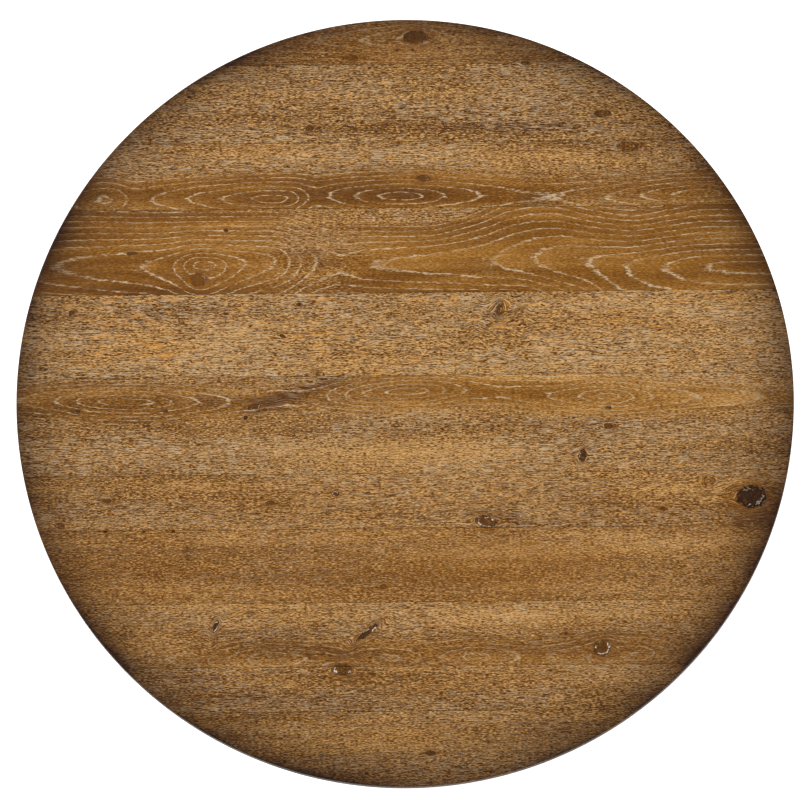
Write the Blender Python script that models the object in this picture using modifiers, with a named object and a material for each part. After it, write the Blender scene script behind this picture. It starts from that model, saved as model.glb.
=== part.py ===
"""Round pedestal dining table in oak, built the way a workshop builds it.

The top is eleven random-width boards glued edge to edge and held flat by two battens. Two half-lapped
bearers carry it on a turned column, which stands in a square hub with four tenoned feet. One threaded
rod clamps hub, column, cap and bearers together. Each foot has a levelling glide: a threaded insert in
the toe, a stem that screws up and down in it, and a pad that stays on the floor.

Metres, +Z up. The origin is on the floor under the middle of the top, and +X runs along the boards.
"""

import math

import bmesh
import bpy
from mathutils import Matrix, Vector

# Overall
TABLE_HEIGHT = 0.762
TOP_DIAMETER = 1.372
FIT = 0.0003  # gap left between two pieces that touch
CUT = 0.002  # how far a cutter runs past the face that it opens

# Top: board widths from the rear (+Y) to the front, in proportion, which together fill the diameter
TOP_THICKNESS = 0.036
BOARD_SHARES = (80, 140, 118, 152, 148, 175, 98, 131, 114, 80, 134)
EDGE_EASE = 0.003
UNDER_BEVEL_HEIGHT = 0.014
UNDER_BEVEL_REACH = 0.020

# Battens and bearers under the top
BATTEN_WIDTH = 0.060
BATTEN_DEPTH = 0.028
BATTEN_END_MARGIN = 0.040  # from the outer screw to the batten's end
BATTEN_RIM_GAP = 0.012
BATTEN_CHAMFER = 0.004
BATTEN_SCREW_BOARDS = (2, 5, 8)  # boards whose middles take the batten screws
BEARER_WIDTH = 0.090
BEARER_DEPTH = 0.050
BEARER_END_GAP = 0.030  # from a bearer's end to the batten beside it
BEARER_END_CHAMFER = 0.022
BEARER_SCREW_BOARDS = {1: 3, -1: 7}  # board that takes the screw, for the rear and the front arms

# Column and cap
CAP_DIAMETER = 0.250
CAP_THICKNESS = 0.028
CAP_EDGE_RADIUS = 0.009
COLUMN_HEAD_RADIUS = 0.096
COLUMN_HEAD_BAND = 0.020  # each length is a height on the column, and the swell takes what is left
COLUMN_BELL = 0.066
COLUMN_BELL_POWER = 2.4
COLUMN_NECK_RADIUS = 0.050
COLUMN_SWELL_RADIUS = 0.104
COLUMN_SWELL_PLACE = 0.32  # the widest point, as a share of the swell's own height
COLUMN_WAIST_RADIUS = 0.060
COLUMN_HOLLOW = 0.028
COLUMN_FOOT_RADIUS = 0.076
COLUMN_FOOT_BAND = 0.026
COLUMN_BEAD = 0.024
COLUMN_BEAD_BULGE = 0.009
COLUMN_BEAD_SEAT = 0.003  # how far a bead's edge stands out from the wood beside it
COLUMN_FILLET = 0.004  # the small step, up and out, beside each bead and band
SPIGOT_RADIUS = 0.028
SPIGOT_LENGTH = 0.018

# Hub and feet
HUB_SIDE = 0.160
HUB_BOTTOM = 0.070
HUB_HEIGHT = 0.135
HUB_CHAMFER = 0.006
FOOT_WIDTH = 0.070
FOOT_REACH = 0.430  # from the axis to the tip of the toe
FOOT_SHOULDER_DROP = 0.010  # from the hub's top to the top of the foot beside it
FOOT_CHAMFER = 0.004
FOOT_PLATE_FLAT = 0.165  # radius to which the underside stays level for the base plate
TOE_HEIGHT = 0.038
TOE_FLAT = 0.085  # length of the toe that lies level
TENON_WIDTH = 0.032
TENON_HEIGHT = 0.090
TENON_LENGTH = 0.045
TENON_ROOT = 0.010  # how far the tenon's block runs back into the foot that it is one piece with

# Base plate, tie rod and screws
PLATE_THICKNESS = 0.003
PLATE_ARM_WIDTH = 0.036
PLATE_ARM_REACH = 0.150
PLATE_SCREW_INSET = 0.016
ROD_RADIUS = 0.006
ROD_END = 0.003  # rod showing past each nut
NUT_FLANGE_RADIUS = 0.0145
NUT_FLANGE_THICKNESS = 0.003
NUT_HEX_RADIUS = 0.0104
NUT_HEIGHT = 0.012
NUT_RECESS_GAP = 0.002  # room round the upper nut's flange
SCREW_LENGTH = 0.045
SCREW_RADIUS = 0.0025
SCREW_HEAD_RADIUS = 0.0055
SCREW_HEAD_THICKNESS = 0.003
SCREW_HEAD_CROWN_RADIUS = 0.0038
SCREW_TIP = 0.006
SCREW_BITE = 0.022  # length in the top board
COUNTERBORE_RADIUS = 0.008

# Levelling glides
GLIDE_INSET = 0.045  # from the tip of the toe to the glide's axis
PAD_RADIUS = 0.019
PAD_HEIGHT = 0.008
PAD_BEVEL = 0.002
PAD_SHOULDER_RADIUS = 0.013
PAD_SOCKET_RADIUS = 0.0060
PAD_SOCKET_DEPTH = 0.005
STEM_RADIUS = 0.004
STEM_LENGTH = 0.026  # thread above the hexagon
STEM_FOOT_RADIUS = 0.0052
STEM_HEX_RADIUS = 0.0075
STEM_HEX_HEIGHT = 0.005
STEM_HOLE_GAP = 0.002  # room above the stem's end in the toe
INSERT_RADIUS = 0.0058
INSERT_LENGTH = 0.016
INSERT_FLANGE_RADIUS = 0.011
INSERT_FLANGE_THICKNESS = 0.002

# How finely round shapes are cut
RIM_STEPS = 96
COLUMN_STEPS = 28
BORE_STEPS = 14
SMALL_STEPS = 10
SMOOTH_ANGLE = 40

# Heights and radii that follow from the sizes above
TOP_RADIUS = TOP_DIAMETER / 2
TOP_UNDERSIDE = TABLE_HEIGHT - TOP_THICKNESS
FLAT_RADIUS = TOP_RADIUS - UNDER_BEVEL_REACH
BEARER_BOTTOM = TOP_UNDERSIDE - BEARER_DEPTH - FIT
CAP_BOTTOM = BEARER_BOTTOM - FIT - CAP_THICKNESS
HUB_TOP = HUB_BOTTOM + HUB_HEIGHT
COLUMN_BOTTOM = HUB_TOP + FIT
COLUMN_TOP = CAP_BOTTOM - FIT
PLATE_BOTTOM = HUB_BOTTOM - FIT - PLATE_THICKNESS
TOE_BOTTOM = PAD_HEIGHT + FIT + STEM_HEX_HEIGHT + FIT
GLIDE_RADIUS = FOOT_REACH - GLIDE_INSET
CORNERS = {"front_right": -45, "rear_right": 45, "rear_left": 135, "front_left": -135}

OAK_TOP = ("oak_top", (0.27, 0.135, 0.045), 0.55, 0.0)
OAK_BASE = ("oak_base", (0.24, 0.12, 0.045), 0.55, 0.0)
STEEL = ("zinc_steel", (0.55, 0.55, 0.53), 0.35, 1.0)
BLACK_STEEL = ("black_steel", (0.03, 0.03, 0.03), 0.5, 1.0)
NYLON = ("glide_nylon", (0.03, 0.028, 0.026), 0.6, 0.0)


def clear_scene():
    for obj in list(bpy.data.objects):
        bpy.data.objects.remove(obj, do_unlink=True)


def new_collection(name):
    collection = bpy.data.collections.new(name)
    bpy.context.scene.collection.children.link(collection)
    return collection


def material_of(look):
    """The Principled material of a look, (name, colour, roughness, metallic), made on first use."""
    name, colour, roughness, metallic = look
    material = bpy.data.materials.get(name)
    if material is None:
        material = bpy.data.materials.new(name)
        material.use_nodes = True
        shader = material.node_tree.nodes["Principled BSDF"]
        shader.inputs["Base Color"].default_value = (*colour, 1.0)
        shader.inputs["Roughness"].default_value = roughness
        shader.inputs["Metallic"].default_value = metallic
    return material


def add_object(name, mesh, look):
    """A part of the table where look is given, and otherwise a cutter that doesn't render."""
    obj = bpy.data.objects.new(name, mesh)
    if look:
        mesh.materials.clear()
        mesh.materials.append(material_of(look))
        TABLE.objects.link(obj)
    else:
        CUTTERS.objects.link(obj)
        obj.hide_render = True
        obj.display_type = "WIRE"
    return obj


def box(name, low, high, look=None, turn=0.0):
    """A box between two corners, then turned about the table's axis by an angle in degrees."""
    low, high = Vector(low), Vector(high)
    mesh = bpy.data.meshes.new(name)
    shape = bmesh.new()
    bmesh.ops.create_cube(shape, size=1.0)
    bmesh.ops.scale(shape, vec=high - low, verts=shape.verts)
    shape.to_mesh(mesh)
    shape.free()
    obj = add_object(name, mesh, look)
    spin = Matrix.Rotation(math.radians(turn), 4, "Z")
    obj.matrix_world = spin @ Matrix.Translation((low + high) / 2)
    return obj


def shade_round(mesh):
    mesh.shade_smooth()
    mesh.set_sharp_from_angle(angle=math.radians(SMOOTH_ANGLE))


def prism(name, sides, radius, bottom, top, look=None):
    """An upright cylinder or, with six sides, a hexagon between two heights."""
    mesh = bpy.data.meshes.new(name)
    shape = bmesh.new()
    bmesh.ops.create_cone(
        shape, cap_ends=True, segments=sides, radius1=radius, radius2=radius, depth=top - bottom
    )
    shape.to_mesh(mesh)
    shape.free()
    shade_round(mesh)
    obj = add_object(name, mesh, look)
    obj.location = (0.0, 0.0, (bottom + top) / 2)
    return obj


def turned_mesh(name, profile, steps, closed=False):
    """A lathe shape. The profile is (radius, height) points, down the outside from the top.

    A closed profile is the section of a bored piece. An open one starts and ends on the axis.
    """
    count = len(profile)
    edges = [(i, i + 1) for i in range(count - 1)]
    if closed:
        edges.append((count - 1, 0))
    section = bpy.data.meshes.new(name)
    section.from_pydata([(radius, 0.0, height) for radius, height in profile], edges, [])
    lathe = bpy.data.objects.new(name, section)
    CUTTERS.objects.link(lathe)
    screw = lathe.modifiers.new("turn", "SCREW")
    screw.axis = "Z"
    screw.steps = steps
    screw.render_steps = steps
    screw.use_merge_vertices = True
    screw.merge_threshold = 0.00001
    mesh = finished_mesh(lathe, name)
    bpy.data.objects.remove(lathe, do_unlink=True)
    shade_round(mesh)
    return mesh


def turned(name, profile, steps, look=None, closed=False, place=(0.0, 0.0)):
    obj = add_object(name, turned_mesh(name, profile, steps, closed), look)
    obj.location = (*place, 0.0)
    return obj


def boolean(obj, other, operation):
    modifier = obj.modifiers.new(other.name, "BOOLEAN")
    modifier.operation = operation
    modifier.object = other
    modifier.solver = "EXACT"


def cut(obj, *cutters):
    for cutter in cutters:
        boolean(obj, cutter, "DIFFERENCE")


def finished_mesh(obj, name):
    """The mesh of an object with its modifiers applied, in the object's own space."""
    bpy.context.view_layer.update()
    graph = bpy.context.evaluated_depsgraph_get()
    mesh = bpy.data.meshes.new_from_object(obj.evaluated_get(graph))
    mesh.name = name
    return mesh


def at_corner(radius, degrees):
    """The (x, y) place at a radius in one of the four foot directions."""
    turn = math.radians(degrees)
    return radius * math.cos(turn), radius * math.sin(turn)


def screw_cutter(name, place, head_face, opening, counterbore=COUNTERBORE_RADIUS):
    """The hole of an upward screw: a counterbore below head_face, and the pilot hole above it.

    The opening is the height of the face that the screw goes in by.
    """
    tip = head_face + SCREW_LENGTH + FIT
    pilot = SCREW_RADIUS + FIT
    profile = [
        (0.0, tip),
        (pilot, tip),
        (pilot, head_face + FIT),
        (counterbore, head_face + FIT),
        (counterbore, opening - CUT),
        (0.0, opening - CUT),
    ]
    return turned(name, profile, SMALL_STEPS, place=place)


# Top


def board_seams():
    """The Y of each board's edges, from the rear rim to the front rim."""
    seams = [TOP_RADIUS]
    for share in BOARD_SHARES:
        seams.append(seams[-1] - TOP_DIAMETER * share / sum(BOARD_SHARES))
    return seams


def board_middle(index):
    seams = board_seams()
    return (seams[index] + seams[index + 1]) / 2


def top_blank():
    """The whole top as one disc: eased upper edge, upright band, bevel underneath."""
    ease_steps = 3
    profile = [(0.0, TABLE_HEIGHT)]
    for step in range(ease_steps + 1):
        angle = math.pi / 2 * (1 - step / ease_steps)
        profile.append(
            (
                TOP_RADIUS - EDGE_EASE + EDGE_EASE * math.cos(angle),
                TABLE_HEIGHT - EDGE_EASE + EDGE_EASE * math.sin(angle),
            )
        )
    profile += [
        (TOP_RADIUS, TOP_UNDERSIDE + UNDER_BEVEL_HEIGHT),
        (FLAT_RADIUS, TOP_UNDERSIDE),
        (0.0, TOP_UNDERSIDE),
    ]
    return turned("top_blank", profile, RIM_STEPS)


def make_boards():
    """The boards, sawn from one blank. Returns them from rear to front."""
    blank = top_blank()
    seams = board_seams()
    boards = []
    for index in range(len(BOARD_SHARES)):
        rear = seams[index] - FIT / 2 if index else TOP_RADIUS + CUT
        last = index == len(BOARD_SHARES) - 1
        front = -TOP_RADIUS - CUT if last else seams[index + 1] + FIT / 2
        board = box(
            f"top_board_{index + 1:02d}",
            (-TOP_RADIUS - CUT, front, TOP_UNDERSIDE - CUT),
            (TOP_RADIUS + CUT, rear, TABLE_HEIGHT + CUT),
            OAK_TOP,
        )
        boolean(board, blank, "INTERSECT")
        boards.append(board)
    return boards


# Under the top


def batten_half_length():
    reach = max(abs(board_middle(index)) for index in BATTEN_SCREW_BOARDS)
    return reach + BATTEN_END_MARGIN


def batten_offset():
    """The X of a batten's middle line: its outer corners keep their gap to the rim's bevel."""
    corner = FLAT_RADIUS - BATTEN_RIM_GAP
    return math.sqrt(corner**2 - batten_half_length() ** 2) - BATTEN_WIDTH / 2


def make_battens(boards, screw):
    half = batten_half_length()
    top = TOP_UNDERSIDE - FIT
    bottom = top - BATTEN_DEPTH
    for side, name in ((-1, "left"), (1, "right")):
        middle = side * batten_offset()
        batten = box(
            f"batten_{name}",
            (middle - BATTEN_WIDTH / 2, -half, bottom),
            (middle + BATTEN_WIDTH / 2, half, top),
            OAK_BASE,
        )
        soften(batten, BATTEN_CHAMFER)
        for order, index in enumerate(BATTEN_SCREW_BOARDS):
            place = (middle, board_middle(index))
            fasten(
                f"batten_screw_{name}_{order + 1}", place, bottom, screw, (batten, boards[index])
            )


def soften(obj, width):
    bevel = obj.modifiers.new("soften", "BEVEL")
    bevel.width = width
    bevel.segments = 1
    bevel.limit_method = "ANGLE"
    bevel.angle_limit = math.radians(50)


def fasten(name, place, opening, screw, pieces):
    """A screw up into the top board, with its hole cut in each piece that it passes through."""
    head_face = TOP_UNDERSIDE + SCREW_BITE - SCREW_LENGTH
    hole = screw_cutter(f"hole_{name}", place, head_face, opening)
    for piece in pieces:
        cut(piece, hole)
    obj = add_object(name, screw, STEEL)
    obj.location = (*place, head_face)


def bearer_half_length():
    """Along the diagonal, as far as the gap to the battens lets the bearer's outer corner go."""
    corner = batten_offset() - BATTEN_WIDTH / 2 - BEARER_END_GAP
    return corner * math.sqrt(2) - BEARER_WIDTH / 2


def bearer(name, degrees):
    """A bearer across the table at an angle, its lower end corners chamfered."""
    half = bearer_half_length()
    top = TOP_UNDERSIDE - FIT
    mesh = bpy.data.meshes.new(name)
    shape = bmesh.new()
    bmesh.ops.create_cube(shape, size=1.0)
    bmesh.ops.scale(shape, vec=(2 * half, BEARER_WIDTH, BEARER_DEPTH), verts=shape.verts)
    lower_ends = [
        edge
        for edge in shape.edges
        if all(v.co.z < 0 for v in edge.verts) and edge.verts[0].co.x * edge.verts[1].co.x > 0
    ]
    bmesh.ops.bevel(
        shape, geom=lower_ends, offset=BEARER_END_CHAMFER, segments=1, affect="EDGES"
    )
    shape.to_mesh(mesh)
    shape.free()
    obj = add_object(name, mesh, OAK_BASE)
    obj.location = (0.0, 0.0, top - BEARER_DEPTH / 2)
    obj.rotation_euler = (0.0, 0.0, math.radians(degrees))
    return obj


def make_bearers(boards, screw):
    """Two bearers on the diagonals, halved into each other over the column."""
    half_lap = BEARER_BOTTOM + BEARER_DEPTH / 2
    width = BEARER_WIDTH / 2 + FIT
    lower = bearer("bearer_lower", 45)
    upper = bearer("bearer_upper", -45)
    low, middle, high = BEARER_BOTTOM - CUT, FIT / 2, TOP_UNDERSIDE + CUT
    upper_notch = box(
        "notch_upper", (-width, -width, half_lap - middle), (width, width, high), turn=45
    )
    lower_notch = box(
        "notch_lower", (-width, -width, low), (width, width, half_lap + middle), turn=45
    )
    cut(lower, upper_notch)
    cut(upper, lower_notch)
    arms = {"rear_right": lower, "front_left": lower, "front_right": upper, "rear_left": upper}
    for corner, piece in arms.items():
        ways = [math.copysign(1.0, part) for part in at_corner(1.0, CORNERS[corner])]
        index = BEARER_SCREW_BOARDS[int(ways[1])]
        reach = abs(board_middle(index))
        place = (ways[0] * reach, ways[1] * reach)
        fasten(f"bearer_screw_{corner}", place, BEARER_BOTTOM, screw, (piece, boards[index]))
    return lower, upper


# Column, cap and hub


def column_profile():
    """(radius, height) points from the column's head down to its foot.

    From the top: a level band, a bell that narrows to the neck by a power law, a bead, the long swell
    in two cosine blends, a second bead, a hollow that widens as a parabola, and a level band.
    """
    points = []
    height = COLUMN_TOP

    def run(length, count, radius_at):
        """Adds count + 1 points down a length of column, radius_at going from share 0 to 1."""
        nonlocal height
        for step in range(count + 1):
            share = step / count
            points.append((radius_at(share), height - length * share))
        height -= length

    def blend(start, end):
        return lambda share: start + (end - start) * (1 - math.cos(math.pi * share)) / 2

    def level(radius):
        return lambda share: radius

    def bead_at(share):
        return COLUMN_BEAD_SEAT + COLUMN_BEAD_BULGE * math.sin(math.pi * share)

    def bead(radius):
        return lambda share: radius + bead_at(share)

    def bell(share):
        rise = (1 - share) ** COLUMN_BELL_POWER
        return COLUMN_NECK_RADIUS + (COLUMN_HEAD_RADIUS - COLUMN_FILLET - COLUMN_NECK_RADIUS) * rise

    def hollow(share):
        return COLUMN_WAIST_RADIUS + (
            COLUMN_FOOT_RADIUS - COLUMN_FILLET - COLUMN_WAIST_RADIUS
        ) * share**2

    fixed = (
        COLUMN_HEAD_BAND + COLUMN_BELL + 2 * COLUMN_BEAD + COLUMN_HOLLOW + COLUMN_FOOT_BAND
        + 6 * COLUMN_FILLET
    )
    swell = COLUMN_TOP - COLUMN_BOTTOM - fixed
    run(COLUMN_HEAD_BAND, 1, level(COLUMN_HEAD_RADIUS))
    height -= COLUMN_FILLET
    run(COLUMN_BELL, 5, bell)
    height -= COLUMN_FILLET
    run(COLUMN_BEAD, 4, bead(COLUMN_NECK_RADIUS))
    height -= COLUMN_FILLET
    run(swell * (1 - COLUMN_SWELL_PLACE), 8, blend(COLUMN_NECK_RADIUS, COLUMN_SWELL_RADIUS))
    points.pop()
    run(swell * COLUMN_SWELL_PLACE, 5, blend(COLUMN_SWELL_RADIUS, COLUMN_WAIST_RADIUS))
    height -= COLUMN_FILLET
    run(COLUMN_BEAD, 4, bead(COLUMN_WAIST_RADIUS))
    height -= COLUMN_FILLET
    run(COLUMN_HOLLOW, 3, hollow)
    height -= COLUMN_FILLET
    run(COLUMN_FOOT_BAND, 1, level(COLUMN_FOOT_RADIUS))
    return points


def make_column():
    """The column with a spigot at each end and the rod's bore down its axis."""
    bore = ROD_RADIUS + FIT
    outline = [
        (bore, COLUMN_TOP + SPIGOT_LENGTH),
        (SPIGOT_RADIUS, COLUMN_TOP + SPIGOT_LENGTH),
        (SPIGOT_RADIUS, COLUMN_TOP),
        *column_profile(),
        (SPIGOT_RADIUS, COLUMN_BOTTOM),
        (SPIGOT_RADIUS, COLUMN_BOTTOM - SPIGOT_LENGTH),
        (bore, COLUMN_BOTTOM - SPIGOT_LENGTH),
    ]
    turned("column", outline, COLUMN_STEPS, OAK_BASE, closed=True)


def make_cap():
    """A turned disc between column and bearers, its lower edge rounded, socketed for the spigot."""
    bore = ROD_RADIUS + FIT
    socket = SPIGOT_RADIUS + FIT
    radius = CAP_DIAMETER / 2
    top = CAP_BOTTOM + CAP_THICKNESS
    ceiling = COLUMN_TOP + SPIGOT_LENGTH + FIT
    outline = [(bore, top), (radius, top)]
    round_steps = 4
    for step in range(round_steps + 1):
        angle = math.pi / 2 * step / round_steps
        outline.append(
            (
                radius - CAP_EDGE_RADIUS * (1 - math.cos(angle)),
                CAP_BOTTOM + CAP_EDGE_RADIUS * (1 - math.sin(angle)),
            )
        )
    outline += [(socket, CAP_BOTTOM), (socket, ceiling), (bore, ceiling)]
    turned("column_cap", outline, COLUMN_STEPS, OAK_BASE, closed=True)


def make_hub():
    """The square hub, its faces towards the feet, with four mortises and the column's socket."""
    half = HUB_SIDE / 2
    hub = box("hub", (-half, -half, HUB_BOTTOM), (half, half, HUB_TOP), OAK_BASE, turn=45)
    soften(hub, HUB_CHAMFER)
    floor = COLUMN_BOTTOM - SPIGOT_LENGTH - FIT
    socket = prism("hub_socket", COLUMN_STEPS, SPIGOT_RADIUS + FIT, floor, HUB_TOP + CUT)
    bore = prism("hub_bore", BORE_STEPS, ROD_RADIUS + FIT, HUB_BOTTOM - CUT, HUB_TOP + CUT)
    cut(hub, socket, bore)
    for corner, degrees in CORNERS.items():
        cut(hub, tenon_box(f"mortise_{corner}", degrees, FIT))


def tenon_box(name, degrees, room, overlap=0.0):
    """A tenon, or with room its mortise, in one foot's direction. It is midway up the foot's end."""
    face = HUB_SIDE / 2 + FIT + overlap
    middle = (HUB_BOTTOM + HUB_TOP - FOOT_SHOULDER_DROP) / 2
    inner = HUB_SIDE / 2 - TENON_LENGTH - room
    return box(
        name,
        (inner, -TENON_WIDTH / 2 - room, middle - TENON_HEIGHT / 2 - room),
        (face, TENON_WIDTH / 2 + room, middle + TENON_HEIGHT / 2 + room),
        turn=degrees,
    )


# Feet


def foot_outline():
    """(radius, height) points round the foot's side view.

    The underside is level under the base plate, falls in a cosine curve and is level again under the
    toe. The toe ends in a half circle, and the upper edge climbs back in a longer cosine curve.
    """
    root = HUB_SIDE / 2 + FIT
    root_top = HUB_TOP - FOOT_SHOULDER_DROP
    nose = TOE_HEIGHT / 2
    nose_middle = FOOT_REACH - nose
    toe_start = FOOT_REACH - TOE_FLAT
    toe_top = TOE_BOTTOM + TOE_HEIGHT
    fall_steps, nose_steps, rise_steps = 8, 8, 12
    points = [(root, HUB_BOTTOM)]
    for step in range(fall_steps + 1):
        share = step / fall_steps
        drop = (1 - math.cos(math.pi * share)) / 2
        points.append(
            (
                FOOT_PLATE_FLAT + (toe_start - FOOT_PLATE_FLAT) * share,
                HUB_BOTTOM + (TOE_BOTTOM - HUB_BOTTOM) * drop,
            )
        )
    for step in range(nose_steps + 1):
        angle = math.pi * (step / nose_steps - 0.5)
        points.append(
            (nose_middle + nose * math.cos(angle), TOE_BOTTOM + nose + nose * math.sin(angle))
        )
    for step in range(1, rise_steps + 1):
        share = step / rise_steps
        climb = (1 - math.cos(math.pi * share)) / 2
        points.append(
            (nose_middle + (root - nose_middle) * share, toe_top + (root_top - toe_top) * climb)
        )
    return points


def foot_blank():
    """A foot sawn to its side view, with softened edges, lying along +X. Returns its mesh."""
    curve = bpy.data.curves.new("foot_side_view", "CURVE")
    curve.dimensions = "2D"
    curve.fill_mode = "BOTH"
    curve.extrude = FOOT_WIDTH / 2
    spline = curve.splines.new("POLY")
    points = foot_outline()
    spline.points.add(len(points) - 1)
    for point, (radius, height) in zip(spline.points, points):
        point.co = (radius, height, 0.0, 1.0)
    spline.use_cyclic_u = True
    drawn = bpy.data.objects.new("foot_side_view", curve)
    CUTTERS.objects.link(drawn)
    mesh = finished_mesh(drawn, "foot_blank")
    bpy.data.objects.remove(drawn, do_unlink=True)
    shape = bmesh.new()
    shape.from_mesh(mesh)
    bmesh.ops.remove_doubles(shape, verts=shape.verts, dist=0.00001)
    bmesh.ops.rotate(shape, matrix=Matrix.Rotation(math.pi / 2, 3, "X"), verts=shape.verts)
    bmesh.ops.recalc_face_normals(shape, faces=shape.faces)
    shape.to_mesh(mesh)
    shape.free()
    return mesh


def make_feet():
    blank = foot_blank()
    for corner, degrees in CORNERS.items():
        foot = add_object(f"foot_{corner}", blank.copy(), OAK_BASE)
        foot.rotation_euler = (0.0, 0.0, math.radians(degrees))
        soften(foot, FOOT_CHAMFER)
        boolean(foot, tenon_box(f"tenon_{corner}", degrees, 0.0, overlap=TENON_ROOT), "UNION")
        cut(foot, glide_socket(corner, degrees), plate_screw_hole(corner, degrees))


# Base plate, tie rod and screws


def plate_screw_place(degrees):
    return at_corner(PLATE_ARM_REACH - PLATE_SCREW_INSET, degrees)


def plate_screw_hole(corner, degrees):
    """The hole of a base plate screw, the same in the plate and in the foot above it."""
    place = plate_screw_place(degrees)
    head_face = PLATE_BOTTOM - FIT
    wide = SCREW_RADIUS + FIT
    return screw_cutter(f"plate_hole_{corner}", place, head_face, PLATE_BOTTOM, wide)


def make_base_plate(screw):
    """A steel cross under hub and feet, which keeps the feet from spreading."""
    arm = PLATE_ARM_WIDTH / 2
    heights = (PLATE_BOTTOM, PLATE_BOTTOM + PLATE_THICKNESS)
    plate = box(
        "base_plate",
        (-PLATE_ARM_REACH, -arm, heights[0]),
        (PLATE_ARM_REACH, arm, heights[1]),
        BLACK_STEEL,
        turn=45,
    )
    crossing = box(
        "plate_crossing",
        (-arm, -PLATE_ARM_REACH, heights[0]),
        (arm, PLATE_ARM_REACH, heights[1]),
        turn=45,
    )
    boolean(plate, crossing, "UNION")
    bore = prism("plate_bore", BORE_STEPS, ROD_RADIUS + FIT, heights[0] - CUT, heights[1] + CUT)
    cut(plate, bore)
    for corner, degrees in CORNERS.items():
        cut(plate, bpy.data.objects[f"plate_hole_{corner}"])
        obj = add_object(f"plate_screw_{corner}", screw, STEEL)
        obj.location = (*plate_screw_place(degrees), PLATE_BOTTOM - FIT)


def screw_mesh():
    """A washer-head screw pointing up, its head's flat face at height 0."""
    profile = [
        (0.0, SCREW_LENGTH),
        (SCREW_RADIUS, SCREW_LENGTH - SCREW_TIP),
        (SCREW_RADIUS, 0.0),
        (SCREW_HEAD_RADIUS, 0.0),
        (SCREW_HEAD_RADIUS, -SCREW_HEAD_THICKNESS / 2),
        (SCREW_HEAD_CROWN_RADIUS, -SCREW_HEAD_THICKNESS),
        (0.0, -SCREW_HEAD_THICKNESS),
    ]
    return turned_mesh("screw", profile, SMALL_STEPS)


def flange_nut(name, seat, way):
    """A flange nut that seats at a height. way is 1 with its hexagon above the flange, -1 below."""
    flange_far = seat + way * NUT_FLANGE_THICKNESS
    far = seat + way * NUT_HEIGHT
    flange = min(seat, flange_far), max(seat, flange_far)
    nut = prism(name, 2 * BORE_STEPS, NUT_FLANGE_RADIUS, *flange, look=STEEL)
    inside = seat + way * NUT_FLANGE_THICKNESS / 2
    hexagon = prism(f"hex_{name}", 6, NUT_HEX_RADIUS, min(inside, far), max(inside, far))
    boolean(nut, hexagon, "UNION")
    bore = prism(
        f"bore_{name}", BORE_STEPS, ROD_RADIUS + FIT, min(seat, far) - CUT, max(seat, far) + CUT
    )
    cut(nut, bore)


def make_tie_rod(lower_bearer, upper_bearer):
    """The rod from under the base plate to a nut sunk in the bearers, just below the top."""
    lower_seat = PLATE_BOTTOM - FIT
    upper_seat = TOP_UNDERSIDE - FIT - NUT_HEIGHT - ROD_END - FIT
    bottom = lower_seat - NUT_HEIGHT - ROD_END
    top = upper_seat + NUT_HEIGHT + ROD_END
    prism("tie_rod", BORE_STEPS, ROD_RADIUS, bottom, top, look=STEEL)
    flange_nut("tie_rod_nut_lower", lower_seat, -1)
    flange_nut("tie_rod_nut_upper", upper_seat, 1)
    bore = prism("bearer_bore", BORE_STEPS, ROD_RADIUS + FIT, BEARER_BOTTOM - CUT, TOP_UNDERSIDE)
    recess = prism(
        "nut_recess", BORE_STEPS, NUT_FLANGE_RADIUS + NUT_RECESS_GAP, upper_seat - FIT, TOP_UNDERSIDE + CUT
    )
    cut(lower_bearer, bore)
    cut(upper_bearer, bore, recess)


# Levelling glides


def glide_socket(corner, degrees):
    """The stepped hole in the toe: a recess for the insert's flange, its barrel, then the stem."""
    flange_top = TOE_BOTTOM + INSERT_FLANGE_THICKNESS + FIT
    barrel_top = TOE_BOTTOM + INSERT_LENGTH + FIT
    stem_top = TOE_BOTTOM + STEM_LENGTH + STEM_HOLE_GAP
    flange = INSERT_FLANGE_RADIUS + FIT
    barrel = INSERT_RADIUS + FIT
    stem = STEM_RADIUS + FIT
    profile = [
        (0.0, stem_top),
        (stem, stem_top),
        (stem, barrel_top),
        (barrel, barrel_top),
        (barrel, flange_top),
        (flange, flange_top),
        (flange, TOE_BOTTOM - CUT),
        (0.0, TOE_BOTTOM - CUT),
    ]
    place = at_corner(GLIDE_RADIUS, degrees)
    return turned(f"glide_socket_{corner}", profile, BORE_STEPS, place=place)


def glide_pad_mesh():
    """The pad that stands on the floor, with a socket for the stem's foot."""
    profile = [
        (0.0, PAD_HEIGHT - PAD_SOCKET_DEPTH),
        (PAD_SOCKET_RADIUS, PAD_HEIGHT - PAD_SOCKET_DEPTH),
        (PAD_SOCKET_RADIUS, PAD_HEIGHT),
        (PAD_SHOULDER_RADIUS, PAD_HEIGHT),
        (PAD_RADIUS, PAD_HEIGHT / 2),
        (PAD_RADIUS, PAD_BEVEL),
        (PAD_RADIUS - PAD_BEVEL, 0.0),
        (0.0, 0.0),
    ]
    return turned_mesh("glide_pad", profile, 2 * SMALL_STEPS)


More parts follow.
